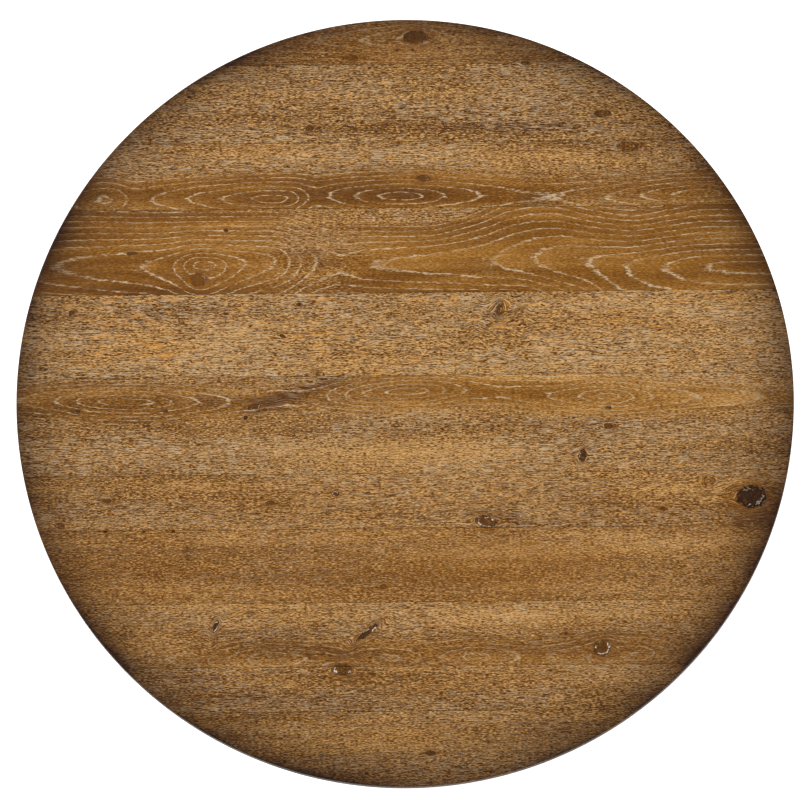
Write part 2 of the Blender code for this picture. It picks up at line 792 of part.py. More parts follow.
def glide_stem_mesh():
    """The threaded stem: a foot in the pad's socket, a hexagon to turn it by, and the thread."""
    foot_bottom = PAD_HEIGHT - PAD_SOCKET_DEPTH + FIT
    hex_bottom = PAD_HEIGHT + FIT
    hex_top = hex_bottom + STEM_HEX_HEIGHT
    thread_top = hex_top + STEM_LENGTH
    inside = (hex_bottom + hex_top) / 2
    stem = prism("stem_thread", BORE_STEPS, STEM_RADIUS, inside, thread_top)
    hexagon = prism("stem_hexagon", 6, STEM_HEX_RADIUS, hex_bottom, hex_top)
    foot = prism("stem_foot", BORE_STEPS, STEM_FOOT_RADIUS, foot_bottom, inside)
    pattern = prism("stem_pattern", BORE_STEPS, STEM_RADIUS, inside - CUT, inside + CUT)
    for piece in (hexagon, stem, foot):
        boolean(pattern, piece, "UNION")
    mesh = finished_mesh(pattern, "glide_stem")
    mesh.transform(Matrix.Translation((0.0, 0.0, pattern.location.z)))
    bpy.data.objects.remove(pattern, do_unlink=True)
    return mesh


def glide_insert_mesh():
    """The flanged insert that is driven up into the toe, bored for the stem."""
    bore = STEM_RADIUS + FIT / 2
    flange_top = TOE_BOTTOM + INSERT_FLANGE_THICKNESS
    outline = [
        (bore, TOE_BOTTOM + INSERT_LENGTH),
        (INSERT_RADIUS, TOE_BOTTOM + INSERT_LENGTH),
        (INSERT_RADIUS, flange_top),
        (INSERT_FLANGE_RADIUS, flange_top),
        (INSERT_FLANGE_RADIUS, TOE_BOTTOM),
        (bore, TOE_BOTTOM),
    ]
    return turned_mesh("glide_insert", outline, BORE_STEPS, closed=True)


def make_glides():
    """One insert, stem and pad in each toe. Each has its origin on the glide's upright axis."""
    pieces = (
        ("glide_insert", glide_insert_mesh(), STEEL),
        ("glide_stem", glide_stem_mesh(), STEEL),
        ("glide_pad", glide_pad_mesh(), NYLON),
    )
    for corner, degrees in CORNERS.items():
        for name, mesh, look in pieces:
            obj = add_object(f"{name}_{corner}", mesh, look)
            obj.location = (*at_corner(GLIDE_RADIUS, degrees), 0.0)


clear_scene()
TABLE = new_collection("round_pedestal_table")
CUTTERS = new_collection("cutters")
SCREW = screw_mesh()
BOARDS = make_boards()
make_battens(BOARDS, SCREW)
BEARERS = make_bearers(BOARDS, SCREW)
make_column()
make_cap()
make_hub()
make_feet()
make_base_plate(SCREW)
make_tie_rod(*BEARERS)
make_glides()
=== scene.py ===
"""Looks for the round pedestal dining table: wire-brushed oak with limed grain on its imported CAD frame."""

import math

import bmesh
import bpy
import numpy as np
from mathutils import Matrix, Vector


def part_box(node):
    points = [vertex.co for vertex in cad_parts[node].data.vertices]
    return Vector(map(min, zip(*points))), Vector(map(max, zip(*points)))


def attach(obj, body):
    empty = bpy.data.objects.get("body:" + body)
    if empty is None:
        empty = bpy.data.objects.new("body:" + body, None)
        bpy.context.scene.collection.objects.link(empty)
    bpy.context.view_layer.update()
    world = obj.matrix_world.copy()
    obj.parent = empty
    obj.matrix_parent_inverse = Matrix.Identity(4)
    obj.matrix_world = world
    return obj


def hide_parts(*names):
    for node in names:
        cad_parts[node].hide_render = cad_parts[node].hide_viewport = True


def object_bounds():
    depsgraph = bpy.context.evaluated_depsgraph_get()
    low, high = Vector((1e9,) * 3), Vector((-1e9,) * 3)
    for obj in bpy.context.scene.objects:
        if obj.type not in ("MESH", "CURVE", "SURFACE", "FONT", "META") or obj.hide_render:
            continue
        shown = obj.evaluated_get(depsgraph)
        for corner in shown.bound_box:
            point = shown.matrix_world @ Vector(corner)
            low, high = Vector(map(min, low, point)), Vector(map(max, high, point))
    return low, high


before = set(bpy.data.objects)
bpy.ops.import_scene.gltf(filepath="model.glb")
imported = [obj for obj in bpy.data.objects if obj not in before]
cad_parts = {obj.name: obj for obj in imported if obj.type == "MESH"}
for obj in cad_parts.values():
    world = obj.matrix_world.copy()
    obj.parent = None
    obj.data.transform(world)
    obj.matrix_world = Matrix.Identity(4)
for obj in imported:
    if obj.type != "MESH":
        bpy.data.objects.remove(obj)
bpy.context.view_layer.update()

# Sizes read from the frame
TABLE_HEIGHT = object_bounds()[1].z
TOP_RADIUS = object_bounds()[1].x
BOARD_COUNT = 11
TOP_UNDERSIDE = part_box("top_board_01")[0].z
TABLE_BODY = "table"
CORNERS = {"front_right": -45, "rear_right": 45, "rear_left": 135, "front_left": -135}

# Rim of the top, as on the CAD model
EDGE_EASE = 0.003
UNDER_BEVEL_HEIGHT = 0.014
UNDER_BEVEL_REACH = 0.020
UNDER_BEVEL_EASE = 0.0004
EASE_STEPS = 6
BAND_ROW_DEPTH = 0.012  # a row of points that keeps the edge band's quads short

# Camera: nearly overhead, a little in front of the table and to its right
CAMERA_AZIMUTH = 5.1
CAMERA_ELEVATION = 80.44
CAMERA_ROLL = 5.6
CAMERA_DISTANCE = 30.0
CAMERA_LENS = 765.4
CAMERA_SENSOR = 36.0
CAMERA_AIM = (-0.0088, 0.0028)
FLOOR_HALF = 40.0
FLOOR_GLOW = 0.45
SKY_STRENGTH = 0.55
LIGHT_AIM_HEIGHT = 0.6

# Figure of the boards from the rear (+Y) to the front, in metres on the table.
# heart: (x, y) points of the line about which the growth rings are nested
# depth: (x, depth) points, how far the pith lies under the face, which sets where each ring closes
# rear, front: (x, share) points, how closely the rings crowd on each side of the heart
# flat: (x, share) points, 1 where the board is flat-sawn and its rings show, 0 where it is rift-sawn
# reach: how many rings out from the heart the flat-sawn figure lasts
# tone and warmth move the stain's lightness and its redness, flecks shows the rays of quartered oak
BOARDS = (
    dict(
        heart=[(0.0, 0.650)],
        depth=[(-0.3, 0.030), (-0.12, 0.022), (0.02, 0.004), (0.12, 0.020), (0.22, 0.012), (0.32, 0.03)],
        flat=[(-0.35, 0.5), (0.0, 0.7), (0.35, 0.5)],
        spacing=0.008, reach=5, tone=-0.14, warmth=0.10, flecks=0.0, lime=0.55,
    ),
    dict(
        heart=[(0.0, 0.53)],
        depth=[(0.0, 0.09)],
        flat=[(0.0, 0.0)],
        spacing=0.006, reach=0, tone=-0.02, warmth=-0.05, flecks=0.06, lime=0.80,
    ),
    dict(
        heart=[(-0.53, 0.367), (-0.23, 0.3645), (-0.13, 0.370), (0.07, 0.369), (0.36, 0.363), (0.52, 0.368)],
        depth=[
            (-0.60, 0.030), (-0.556, 0.024), (-0.526, 0.020), (-0.50, 0.026), (-0.475, 0.034),
            (-0.455, 0.031), (-0.383, 0.0225), (-0.323, 0.015), (-0.268, 0.0075), (-0.235, 0.001),
            (-0.199, 0.0075), (-0.18, 0.018), (-0.155, 0.027), (-0.134, 0.0225), (-0.085, 0.015),
            (-0.046, 0.0075), (0.0, 0.001), (0.035, 0.0075), (0.072, 0.015), (0.138, 0.0225), (0.20, 0.028),
            (0.27, 0.030), (0.358, 0.0225), (0.42, 0.015), (0.476, 0.0075), (0.52, 0.001),
            (0.565, 0.0075), (0.60, 0.015),
        ],
        flat=[(-0.65, 0.95), (0.15, 1.0), (0.27, 0.7), (0.6, 0.9)],
        spacing=0.0075, reach=5, tone=-0.02, warmth=0.12, flecks=0.0, lime=0.90,
    ),
    dict(
        heart=[
            (-0.618, 0.248), (-0.459, 0.2457), (-0.353, 0.242), (-0.221, 0.2535), (-0.06, 0.2462),
            (0.155, 0.248), (0.229, 0.253), (0.326, 0.247), (0.392, 0.236), (0.462, 0.237), (0.60, 0.236),
        ],
        depth=[
            (-0.662, 0.0425), (-0.618, 0.039), (-0.538, 0.0345), (-0.459, 0.0312), (-0.432, 0.028),
            (-0.404, 0.0234), (-0.388, 0.0156), (-0.371, 0.006), (-0.353, 0.001), (-0.335, 0.006),
            (-0.316, 0.0156), (-0.281, 0.0234), (-0.221, 0.0312), (-0.168, 0.052), (-0.115, 0.061),
            (-0.060, 0.0546), (0.044, 0.051), (0.155, 0.0468), (0.229, 0.039), (0.274, 0.0335),
            (0.326, 0.0312), (0.362, 0.027), (0.392, 0.0234), (0.423, 0.019), (0.462, 0.0156),
            (0.503, 0.010), (0.556, 0.006), (0.662, 0.004),
        ],
        rear=[
            (-0.60, 0.85), (-0.20, 1.0), (0.05, 1.2), (0.127, 0.92), (0.171, 0.73), (0.266, 0.72),
            (0.326, 0.86), (0.41, 0.9), (0.52, 0.75),
        ],
        front=[
            (-0.60, 0.8), (-0.35, 0.70), (-0.20, 0.8), (-0.06, 1.05), (0.2, 1.0), (0.27, 0.83),
            (0.32, 0.70), (0.345, 0.54), (0.38, 0.45), (0.52, 0.45),
        ],
        flat=[(-0.7, 1.0), (-0.25, 1.0), (-0.17, 0.45), (-0.12, 0.5), (-0.06, 1.0), (0.7, 1.0)],
        spacing=0.0078, reach=11, tone=-0.09, warmth=0.22, flecks=0.0, lime=0.95,
    ),
    dict(
        heart=[(0.0, 0.12)],
        depth=[(0.0, 0.20)],
        flat=[(0.0, 0.0)],
        spacing=0.005, reach=0, tone=0.10, warmth=0.0, flecks=0.60, lime=0.85,
    ),
    dict(
        heart=[
            (-0.616, 0.008), (-0.494, 0.0036), (-0.36, 0.0025), (-0.20, 0.009), (0.0, 0.019),
            (0.10, 0.0205), (0.252, 0.008), (0.358, 0.005), (0.60, 0.001),
        ],
        depth=[
            (-0.68, 0.026), (-0.616, 0.0195), (-0.579, 0.013), (-0.545, 0.0065), (-0.494, 0.001),
            (-0.44, 0.0065), (-0.413, 0.013), (-0.362, 0.0195), (-0.29, 0.028), (-0.16, 0.030),
            (-0.106, 0.0195), (-0.076, 0.013), (-0.035, 0.0065), (0.0, 0.001), (0.046, 0.0065),
            (0.071, 0.013), (0.106, 0.0195), (0.17, 0.0245), (0.252, 0.0195), (0.307, 0.013),
            (0.339, 0.0065), (0.358, 0.001), (0.381, 0.0065), (0.402, 0.013), (0.436, 0.0195),
            (0.52, 0.026), (0.66, 0.034),
        ],
        flat=[(-0.7, 0.95), (-0.2, 0.7), (0.0, 0.95), (0.7, 0.9)],
        spacing=0.0065, reach=4.5, tone=0.02, warmth=0.06, flecks=0.10, lime=0.92,
    ),
    dict(
        heart=[(0.0, -0.18)],
        depth=[(0.0, 0.12)],
        flat=[(0.0, 0.0)],
        spacing=0.006, reach=0, tone=-0.02, warmth=0.22, flecks=0.08, lime=0.55,
    ),
    dict(
        heart=[(0.0, -0.29), (0.2, -0.305)],
        depth=[(-0.6, 0.09), (0.0, 0.06), (0.15, 0.022), (0.19, 0.010), (0.25, 0.05), (0.6, 0.09)],
        flat=[(-0.6, 0.35), (0.0, 0.4), (0.18, 0.5), (0.6, 0.35)],
        spacing=0.010, reach=5, tone=-0.03, warmth=0.40, flecks=0.0, lime=0.30,
    ),
    dict(
        heart=[(-0.5, -0.455), (0.0, -0.459), (0.4, -0.452)],
        depth=[
            (-0.6, 0.05), (-0.36, 0.030), (-0.24, 0.006), (-0.13, 0.020), (-0.02, 0.012), (0.04, 0.024),
            (0.12, 0.010), (0.22, 0.024), (0.35, 0.010), (0.41, 0.006), (0.55, 0.05),
        ],
        flat=[(-0.55, 0.7), (0.5, 0.7)],
        spacing=0.007, reach=4, tone=0.04, warmth=0.18, flecks=0.0, lime=0.60,
    ),
    dict(
        heart=[(0.0, -0.51)],
        depth=[(0.0, 0.10)],
        flat=[(0.0, 0.1)],
        spacing=0.008, reach=0, tone=0.04, warmth=0.16, flecks=0.05, lime=0.60,
    ),
    dict(
        heart=[(-0.35, -0.585), (0.0, -0.60), (0.35, -0.575)],
        depth=[(-0.4, 0.05), (-0.2, 0.02), (0.0, 0.045), (0.2, 0.03), (0.36, 0.008), (0.45, 0.04)],
        flat=[(0.0, 0.4)],
        spacing=0.008, reach=5, tone=0.05, warmth=0.12, flecks=0.0, lime=0.60,
    ),
)

# Knots: x, y, half width across the grain, stretch, angle in degrees, darkness, share of white filler
KNOTS = (
    (0.023, 0.654, 0.011, 1.8, 0, 0.60, 0.0),
    (-0.009, 0.631, 0.002, 1.3, 0, 0.90, 0.2),
    (0.018, 0.631, 0.002, 1.3, 0, 0.90, 0.0),
    (-0.090, 0.618, 0.005, 3.0, 0, 0.35, 0.8),
    (0.217, 0.605, 0.005, 1.5, 0, 0.50, 0.3),
    (0.353, 0.513, 0.006, 2.4, 0, 0.60, 0.0),
    (-0.166, 0.491, 0.004, 1.8, 0, 0.60, 0.0),
    (0.397, 0.454, 0.009, 2.2, 0, 0.38, 0.0),
    (0.035, 0.400, 0.006, 1.8, 0, 0.50, 0.2),
    (-0.314, 0.310, 0.003, 1.4, 0, 0.80, 0.0),
    (-0.480, 0.270, 0.0035, 3.0, 0, 0.60, 0.1),
    (-0.362, 0.222, 0.012, 1.1, 0, 0.30, 0.25),
    (0.170, 0.163, 0.008, 1.5, 75, 0.30, 0.0),
    (-0.185, 0.176, 0.0035, 1.6, 0, 0.80, 0.4),
    (-0.215, 0.119, 0.003, 1.8, -20, 0.90, 0.0),
    (-0.586, 0.165, 0.005, 1.5, 30, 0.50, 0.0),
    (-0.152, 0.051, 0.004, 2.5, 0, 0.35, 0.9),
    (-0.266, -0.007, 0.0055, 2.0, 10, 0.60, 0.4),
    (-0.281, -0.026, 0.003, 1.3, 60, 0.95, 0.0),
    (-0.579, -0.012, 0.003, 2.0, 0, 0.80, 0.4),
    (-0.424, -0.013, 0.003, 2.0, 0, 0.80, 0.3),
    (0.358, -0.014, 0.003, 1.6, 0, 0.90, 0.3),
    (0.358, -0.047, 0.005, 1.5, 0, 0.60, 0.1),
    (0.312, -0.100, 0.0065, 1.7, 78, 0.90, 0.6),
    (-0.124, -0.163, 0.005, 1.2, 0, 0.80, 0.7),
    (-0.238, -0.178, 0.004, 1.6, 0, 0.50, 0.0),
    (0.141, -0.216, 0.010, 1.9, -9, 0.68, 0.7),
    (0.454, -0.196, 0.0035, 1.6, 0, 0.70, 0.0),
    (0.533, -0.147, 0.010, 1.3, 0, 0.30, 0.0),
    (0.609, -0.176, 0.019, 1.3, 5, 1.00, 0.35),
    (-0.526, -0.173, 0.004, 1.8, 0, 0.60, 0.0),
    (-0.609, -0.216, 0.005, 1.6, 0, 0.50, 0.0),
    (-0.530, -0.227, 0.002, 1.6, 0, 0.90, 0.0),
    (-0.462, -0.228, 0.002, 1.6, 0, 0.90, 0.0),
    (-0.410, -0.228, 0.002, 1.6, 0, 0.90, 0.0),
    (-0.040, -0.330, 0.004, 1.4, 0, 0.50, 0.0),
    (-0.337, -0.398, 0.0045, 2.5, 72, 0.90, 0.8),
    (-0.069, -0.411, 0.005, 4.6, 38, 0.85, 1.0),
    (0.344, -0.443, 0.013, 1.15, 20, 0.58, 0.7),
    (0.282, -0.417, 0.003, 1.6, 0, 0.60, 0.0),
    (-0.113, -0.477, 0.0095, 2.0, -4, 0.52, 0.6),
    (0.041, -0.627, 0.004, 2.0, 0, 0.80, 0.2),
)

# Stain that lies darker or lighter than its board: x, y, half length, half width, angle, amount
STAINS = (
    (-0.12, 0.578, 0.10, 0.016, 0, -0.18),
    (0.13, 0.585, 0.14, 0.014, 0, -0.08),
    (-0.34, 0.572, 0.08, 0.020, 0, 0.22),
    (0.02, 0.545, 0.38, 0.012, 0, 0.08),
    (0.40, 0.545, 0.10, 0.024, 0, 0.12),
    (-0.05, 0.530, 0.20, 0.020, 0, 0.10),
    (0.11, 0.490, 0.32, 0.013, 0, -0.26),
    (-0.30, 0.482, 0.12, 0.014, 0, -0.14),
    (-0.36, 0.470, 0.18, 0.018, 0, -0.05),
    (0.03, 0.440, 0.06, 0.012, 0, 0.16),
    (0.34, 0.438, 0.24, 0.024, 0, 0.24),
    (-0.12, 0.398, 0.10, 0.016, 0, -0.13),
    (-0.27, 0.375, 0.28, 0.022, 0, -0.14),
    (0.24, 0.362, 0.05, 0.012, 0, -0.16),
    (0.38, 0.330, 0.26, 0.010, 0, 0.14),
    (0.24, 0.484, 0.05, 0.012, 0, -0.16),
    (0.55, 0.420, 0.04, 0.020, 0, -0.14),
    (-0.36, 0.334, 0.16, 0.012, 0, -0.17),
    (0.20, 0.336, 0.44, 0.006, 0, -0.14),
    (0.24, 0.300, 0.36, 0.018, 0, -0.10),
    (0.28, 0.225, 0.30, 0.020, 0, -0.12),
    (-0.28, 0.250, 0.07, 0.012, 0, 0.11),
    (-0.50, 0.246, 0.09, 0.012, 0, 0.11),
    (-0.06, 0.214, 0.07, 0.016, 0, -0.14),
    (0.62, 0.250, 0.05, 0.030, 0, -0.13),
    (-0.35, 0.205, 0.30, 0.006, 0, -0.18),
    (-0.36, 0.180, 0.24, 0.016, 0, -0.20),
    (-0.03, 0.182, 0.16, 0.014, 0, -0.14),
    (-0.50, 0.130, 0.24, 0.055, 0, -0.09),
    (-0.43, 0.168, 0.08, 0.022, 0, -0.32),
    (0.166, 0.160, 0.050, 0.038, 0, -0.17),
    (0.02, 0.104, 0.22, 0.022, 0, 0.10),
    (-0.40, 0.062, 0.20, 0.013, 0, -0.16),
    (0.40, 0.130, 0.26, 0.050, 0, 0.09),
    (0.46, 0.176, 0.18, 0.024, 0, 0.20),
    (0.53, 0.130, 0.06, 0.020, 0, 0.14),
    (-0.54, 0.120, 0.05, 0.020, 0, -0.12),
    (0.40, 0.064, 0.12, 0.014, 0, 0.10),
    (0.24, 0.038, 0.14, 0.012, 0, 0.18),
    (-0.190, 0.016, 0.085, 0.013, 19, -0.36),
    (-0.24, 0.002, 0.045, 0.016, 10, -0.18),
    (-0.34, 0.006, 0.04, 0.016, 0, -0.12),
    (-0.50, 0.010, 0.17, 0.026, 0, -0.18),
    (-0.44, -0.040, 0.07, 0.024, 0, -0.15),
    (-0.03, -0.092, 0.22, 0.026, 0, 0.42),
    (0.05, -0.080, 0.36, 0.024, 0, 0.12),
    (0.25, -0.116, 0.36, 0.012, 0, 0.16),
    (0.50, -0.075, 0.14, 0.024, 0, 0.08),
    (0.35, -0.052, 0.04, 0.014, 0, -0.12),
    (-0.38, -0.142, 0.08, 0.012, 0, 0.13),
    (-0.26, -0.150, 0.16, 0.010, 0, 0.05),
    (0.49, -0.168, 0.09, 0.020, 0, 0.18),
    (0.64, -0.165, 0.03, 0.030, 0, -0.16),
    (0.00, -0.200, 0.22, 0.020, 0, -0.16),
    (0.170, -0.212, 0.055, 0.016, 0, -0.36),
    (0.63, -0.200, 0.055, 0.030, 0, -0.34),
    (0.605, -0.214, 0.032, 0.016, 0, -0.28),
    (-0.04, -0.238, 0.14, 0.010, 0, 0.18),
    (0.32, -0.238, 0.12, 0.010, 0, 0.17),
    (-0.58, -0.232, 0.08, 0.006, 0, -0.20),
    (-0.382, -0.262, 0.010, 0.030, 0, -0.18),
    (-0.46, -0.272, 0.16, 0.030, 0, -0.07),
    (0.42, -0.305, 0.24, 0.028, 0, -0.16),
    (0.55, -0.250, 0.08, 0.014, 0, 0.10),
    (-0.24, -0.305, 0.22, 0.018, 0, -0.11),
    (-0.12, -0.322, 0.26, 0.018, 0, -0.26),
    (-0.22, -0.362, 0.26, 0.010, 0, 0.15),
    (0.05, -0.385, 0.36, 0.014, 0, 0.12),
    (0.15, -0.390, 0.10, 0.020, 0, 0.30),
    (-0.26, -0.425, 0.14, 0.022, 0, -0.22),
    (-0.44, -0.415, 0.05, 0.016, 0, 0.14),
    (-0.100, -0.440, 0.040, 0.020, 40, -0.10),
    (0.02, -0.448, 0.44, 0.013, 0, -0.19),
    (0.05, -0.482, 0.12, 0.009, 0, 0.16),
    (-0.40, -0.490, 0.08, 0.030, 0, -0.34),
    (-0.20, -0.520, 0.18, 0.024, 0, -0.24),
    (0.43, -0.495, 0.05, 0.030, 0, -0.17),
    (-0.22, -0.560, 0.16, 0.022, 0, -0.13),
    (0.10, -0.540, 0.26, 0.008, 0, -0.14),
    (0.06, -0.584, 0.13, 0.020, 0, 0.11),
    (-0.31, -0.590, 0.08, 0.024, 0, -0.12),
    (0.29, -0.604, 0.08, 0.026, 0, -0.15),
    (0.00, -0.612, 0.18, 0.014, 0, 0.09),
    (0.655, 0.025, 0.030, 0.050, 0, -0.16),
)

# Places where the grain is curly: x, y, reach, how far the lines stray
CURLS = (
    (0.166, 0.160, 0.075, 0.0075),
    (0.345, -0.090, 0.060, 0.0040),
    (-0.200, 0.010, 0.080, 0.0030),
    (-0.060, -0.440, 0.060, 0.0035),
    (0.600, -0.180, 0.060, 0.0030),
)

# How far a board's lines wander and its stain varies, besides what the lists above say, and the painted
# shade on the top's left side
GRAIN_WANDER = 0.0016
FINE_WANDER = 0.0007
TONE_DRIFT = 0.14
TONE_STREAKS = 0.07
WARMTH_DRIFT = 0.10
# painted shade: the left side of the top is darkened, as if less light fell on it
LEFT_PAINTED_SHADE = 0.07
LEFT_PAINTED_SHADE_SPAN = (0.30, 0.56)  # how far left of the middle the darker side begins and is full
KNOT_RING_REACH = 0.95  # radius of a knot's own rings, as a share of the knot
KNOT_BEND_STRETCH = 1.2
RING_FADE = 3  # rings over which the flat-sawn figure dies away
RING_FADE_SHARE = 0.85

# Stain rubbed dark at the rim: its amount, how far in it reaches, and the part of the rim left paler
RUB_AMOUNT = 0.90
RUB_REACH = 0.048
RUB_LIMITS = (0.3, 1.3)
PALE_RIM_ANGLE = 0.79
PALE_RIM_SPREAD = 0.32
PALE_RIM_AMOUNT = 0.30

# Relief of the top, in metres below its height
KNOT_SINK = 0.0006
RING_SINK = 0.00016
GRAIN_RELIEF = 0.00007
HAND_WAVE = 0.00012
SEAM_EASE = 0.00018
SEAM_REACH = 0.0022

# Pieces cut from solid oak: where their rings are centred, how far apart they lie, and even values
SOLID_PITH = (0.13, -0.10)
SOLID_SPACING = 0.006
SOLID_TONE = -0.03
SOLID_VALUES = {
    "flat": 0.55, "warmth": 0.08, "flecks": 0.05, "lime": 0.65,
    "near": 0.0, "darkness": 0.0, "filler": 0.0, "burnish_and_shade": 0.0,
}

# Turned column and cap, as on the CAD model
COLUMN_HEAD_RADIUS = 0.096
COLUMN_HEAD_BAND = 0.020
COLUMN_BELL = 0.066
COLUMN_BELL_POWER = 2.4
COLUMN_NECK_RADIUS = 0.050
COLUMN_SWELL_RADIUS = 0.104
COLUMN_SWELL_PLACE = 0.32
COLUMN_WAIST_RADIUS = 0.060
COLUMN_HOLLOW = 0.028
COLUMN_FOOT_RADIUS = 0.076
COLUMN_FOOT_BAND = 0.026
COLUMN_BEAD = 0.024
COLUMN_BEAD_BULGE = 0.009
COLUMN_BEAD_SEAT = 0.003
COLUMN_FILLET = 0.004
COLUMN_SPIGOT = 0.018
CAP_EDGE_RADIUS = 0.009
CAP_TOP_EASE = 0.0012

# Feet, as on the CAD model
FOOT_ROOT = 0.0803
FOOT_REACH = 0.430
FOOT_PLATE_FLAT = 0.165
FOOT_WIDTH = 0.070
FOOT_CORNER = 0.005
TOE_HEIGHT = 0.038
TOE_FLAT = 0.085
TOE_SHARE = 0.86  # share of a foot's stations that come before its nose

# How finely the surfaces are cut
ROW_STEP = 0.0014
ALONG_COUNT = 500
TURN_COUNT = 128
FOOT_STATIONS = (90, 22)  # before the nose and round it
FOOT_ARC_COUNT = 6
FOOT_FLAT_COUNT = 9
SHARP_ANGLE = 35.0
POLE_MERGE = 0.000002


# ---------------------------------------------------------------- numbers on a surface


def fade(value, start, end):
    """0 at start and 1 at end, with a smooth step 3t^2 - 2t^3 between them."""
    share = np.clip((value - start) / (end - start), 0.0, 1.0)
    return share * share * (3.0 - 2.0 * share)


def lattice_noise(x, y, seed):
    """Value noise from -1 to 1: seeded random values on whole numbers, joined by smooth steps."""
    table = np.random.default_rng(seed).uniform(-1.0, 1.0, (256, 256))
    column, row = np.floor(x).astype(int), np.floor(y).astype(int)
    across, up = x - column, y - row
    across, up = across * across * (3 - 2 * across), up * up * (3 - 2 * up)
    a, b = table[row % 256, column % 256], table[row % 256, (column + 1) % 256]
    c, d = table[(row + 1) % 256, column % 256], table[(row + 1) % 256, (column + 1) % 256]
    return (a + (b - a) * across) * (1 - up) + (c + (d - c) * across) * up


def eased_curve(points, x, blur=0.018):
    """The height at x of straight runs through points, blurred along x by a Gaussian of that width."""
    xs = np.linspace(-0.8, 0.8, 1601)
    heights = np.interp(xs, [p[0] for p in points], [p[1] for p in points])
    kernel = np.exp(-(np.arange(-60, 61) ** 2) / (2 * (blur / 0.001) ** 2))
    padded = np.pad(heights, 60, mode="edge")
    return np.interp(x, xs, np.convolve(padded, kernel / kernel.sum(), mode="valid"))


def turned_offset(x, y, centre_x, centre_y, degrees):
    """Offsets of points from a centre, along and across a line turned by an angle."""
    turn = math.radians(degrees)
    dx, dy = x - centre_x, y - centre_y
    return dx * math.cos(turn) + dy * math.sin(turn), dy * math.cos(turn) - dx * math.sin(turn)


def bend_round_knots(x, y):
    """The y of the grain line at each point, which bows round each knot.

    As for flow round a cylinder of radius R, a line's offset from the knot is (y - k) (1 - R^2 / d^2),
    with d the distance in the knot's own stretched measure. Inside the knot it is d - R, so that the
    lines there are rings.
    """
    bent = y.copy()
    for curl_x, curl_y, reach, stray in CURLS:
        share = np.exp(-((x - curl_x) ** 2 + (y - curl_y) ** 2) / reach**2)
        bent += stray * share * lattice_noise(x * 48, y * 62, 13)
    for knot_x, knot_y, radius, stretch, degrees, _, _ in KNOTS:
        reach = radius * KNOT_RING_REACH
        along, across = turned_offset(x, y, knot_x, knot_y, degrees)
        square = (along / (stretch * KNOT_BEND_STRETCH)) ** 2 + across**2
        flow = (y - knot_y) * reach**2 / np.maximum(square, reach**2) * np.exp(-square / (reach * 5) ** 2)
        inside = fade(np.sqrt(square), reach * 1.02, reach * 0.9)
        rings = np.sqrt(square) - reach + knot_y
        bent = (bent - flow) * (1 - inside) + rings * inside
    return bent


def knot_fields(x, y):
    """How near each point is to a knot, how dark that knot is and how much filler it holds.

    Nearness is 1 - d / 3, with d = 1 on the knot's ellipse, so that it is 1 at its centre and 0 well away.
    """
    near, darkness, filler = np.zeros(x.shape), np.zeros(x.shape), np.zeros(x.shape)
    for knot_x, knot_y, radius, stretch, degrees, dark, white in KNOTS:
        along, across = turned_offset(x, y, knot_x, knot_y, degrees)
        own = 1 - np.hypot(along / stretch, across) / (3 * radius)
        closer = own > near
        near = np.where(closer, own, near)
        darkness = np.where(closer, dark, darkness)
        filler = np.where(closer, white, filler)
    return near, darkness, filler


def board_figure(index, x, y, z):
    """Attributes of a board's surface at arrays of points, by name."""
    board = BOARDS[index]
    bent = bend_round_knots(x, y)
    wander = GRAIN_WANDER * lattice_noise(x * 4.0 + index * 9, bent * 12.0, 11)
    wander += FINE_WANDER * lattice_noise(x * 19.0, bent * 40.0 + index * 5, 12)
    heart, depth = eased_curve(board["heart"], x), eased_curve(board["depth"], x, 0.010)
    rise = bent + wander - heart
    even = [(0.0, 1.0)]
    crowd = np.where(rise > 0, *(eased_curve(board.get(side, even), x) for side in ("rear", "front")))
    ring = np.hypot(rise * crowd, depth + (TABLE_HEIGHT - z)) / board["spacing"]
    beyond = fade(ring, board["reach"], board["reach"] + RING_FADE)
    tone = np.full(x.shape, board["tone"])
    tone += TONE_DRIFT * lattice_noise(x * 2.2 + index * 17, bent * 14.0, 21)
    tone += TONE_STREAKS * lattice_noise(x * 7.0 + index * 3, bent * 45.0, 22)
    # painted shade: darker towards the left side of the top
    tone -= LEFT_PAINTED_SHADE * fade(-x, *LEFT_PAINTED_SHADE_SPAN)
    for stain_x, stain_y, length, width, degrees, amount in STAINS:
        along, across = turned_offset(x, bent, stain_x, stain_y, degrees)
        tone += amount * np.exp(-((along / length) ** 4) - (across / width) ** 2)
    near, darkness, filler = knot_fields(x, y)
    rim = np.maximum(TOP_RADIUS - np.hypot(x, y), 0.0)
    angle = np.arctan2(y, x)
    hand = 1.0 - 0.08 * np.cos(4 * angle) + 0.12 * lattice_noise(angle * 4.0 + 40, rim * 12, 41)
    hand -= PALE_RIM_AMOUNT * np.exp(-(((angle - PALE_RIM_ANGLE) / PALE_RIM_SPREAD) ** 2))
    hand += 0.16 * lattice_noise(x * 6 + 50, y * 24, 42)
    burnish_and_shade = np.clip(hand, *RUB_LIMITS) * RUB_AMOUNT * np.exp(-rim / RUB_REACH)
    return {
        "grain": np.stack([x + index * 3.7, bent + wander * 0.5 + index * 1.3, z + index * 0.9], -1),
        "ring": ring,
        "flat": eased_curve(board["flat"], x, 0.04) * (1 - RING_FADE_SHARE * beyond),
        "tone": tone,
        "warmth": np.full(x.shape, board["warmth"]) + WARMTH_DRIFT * lattice_noise(x * 4, bent * 18, 23),
        "flecks": np.full(x.shape, board["flecks"]),
        "lime": np.full(x.shape, board["lime"]),
        "near": near,
        "darkness": darkness,
        "filler": filler,
        "burnish_and_shade": burnish_and_shade,
    }


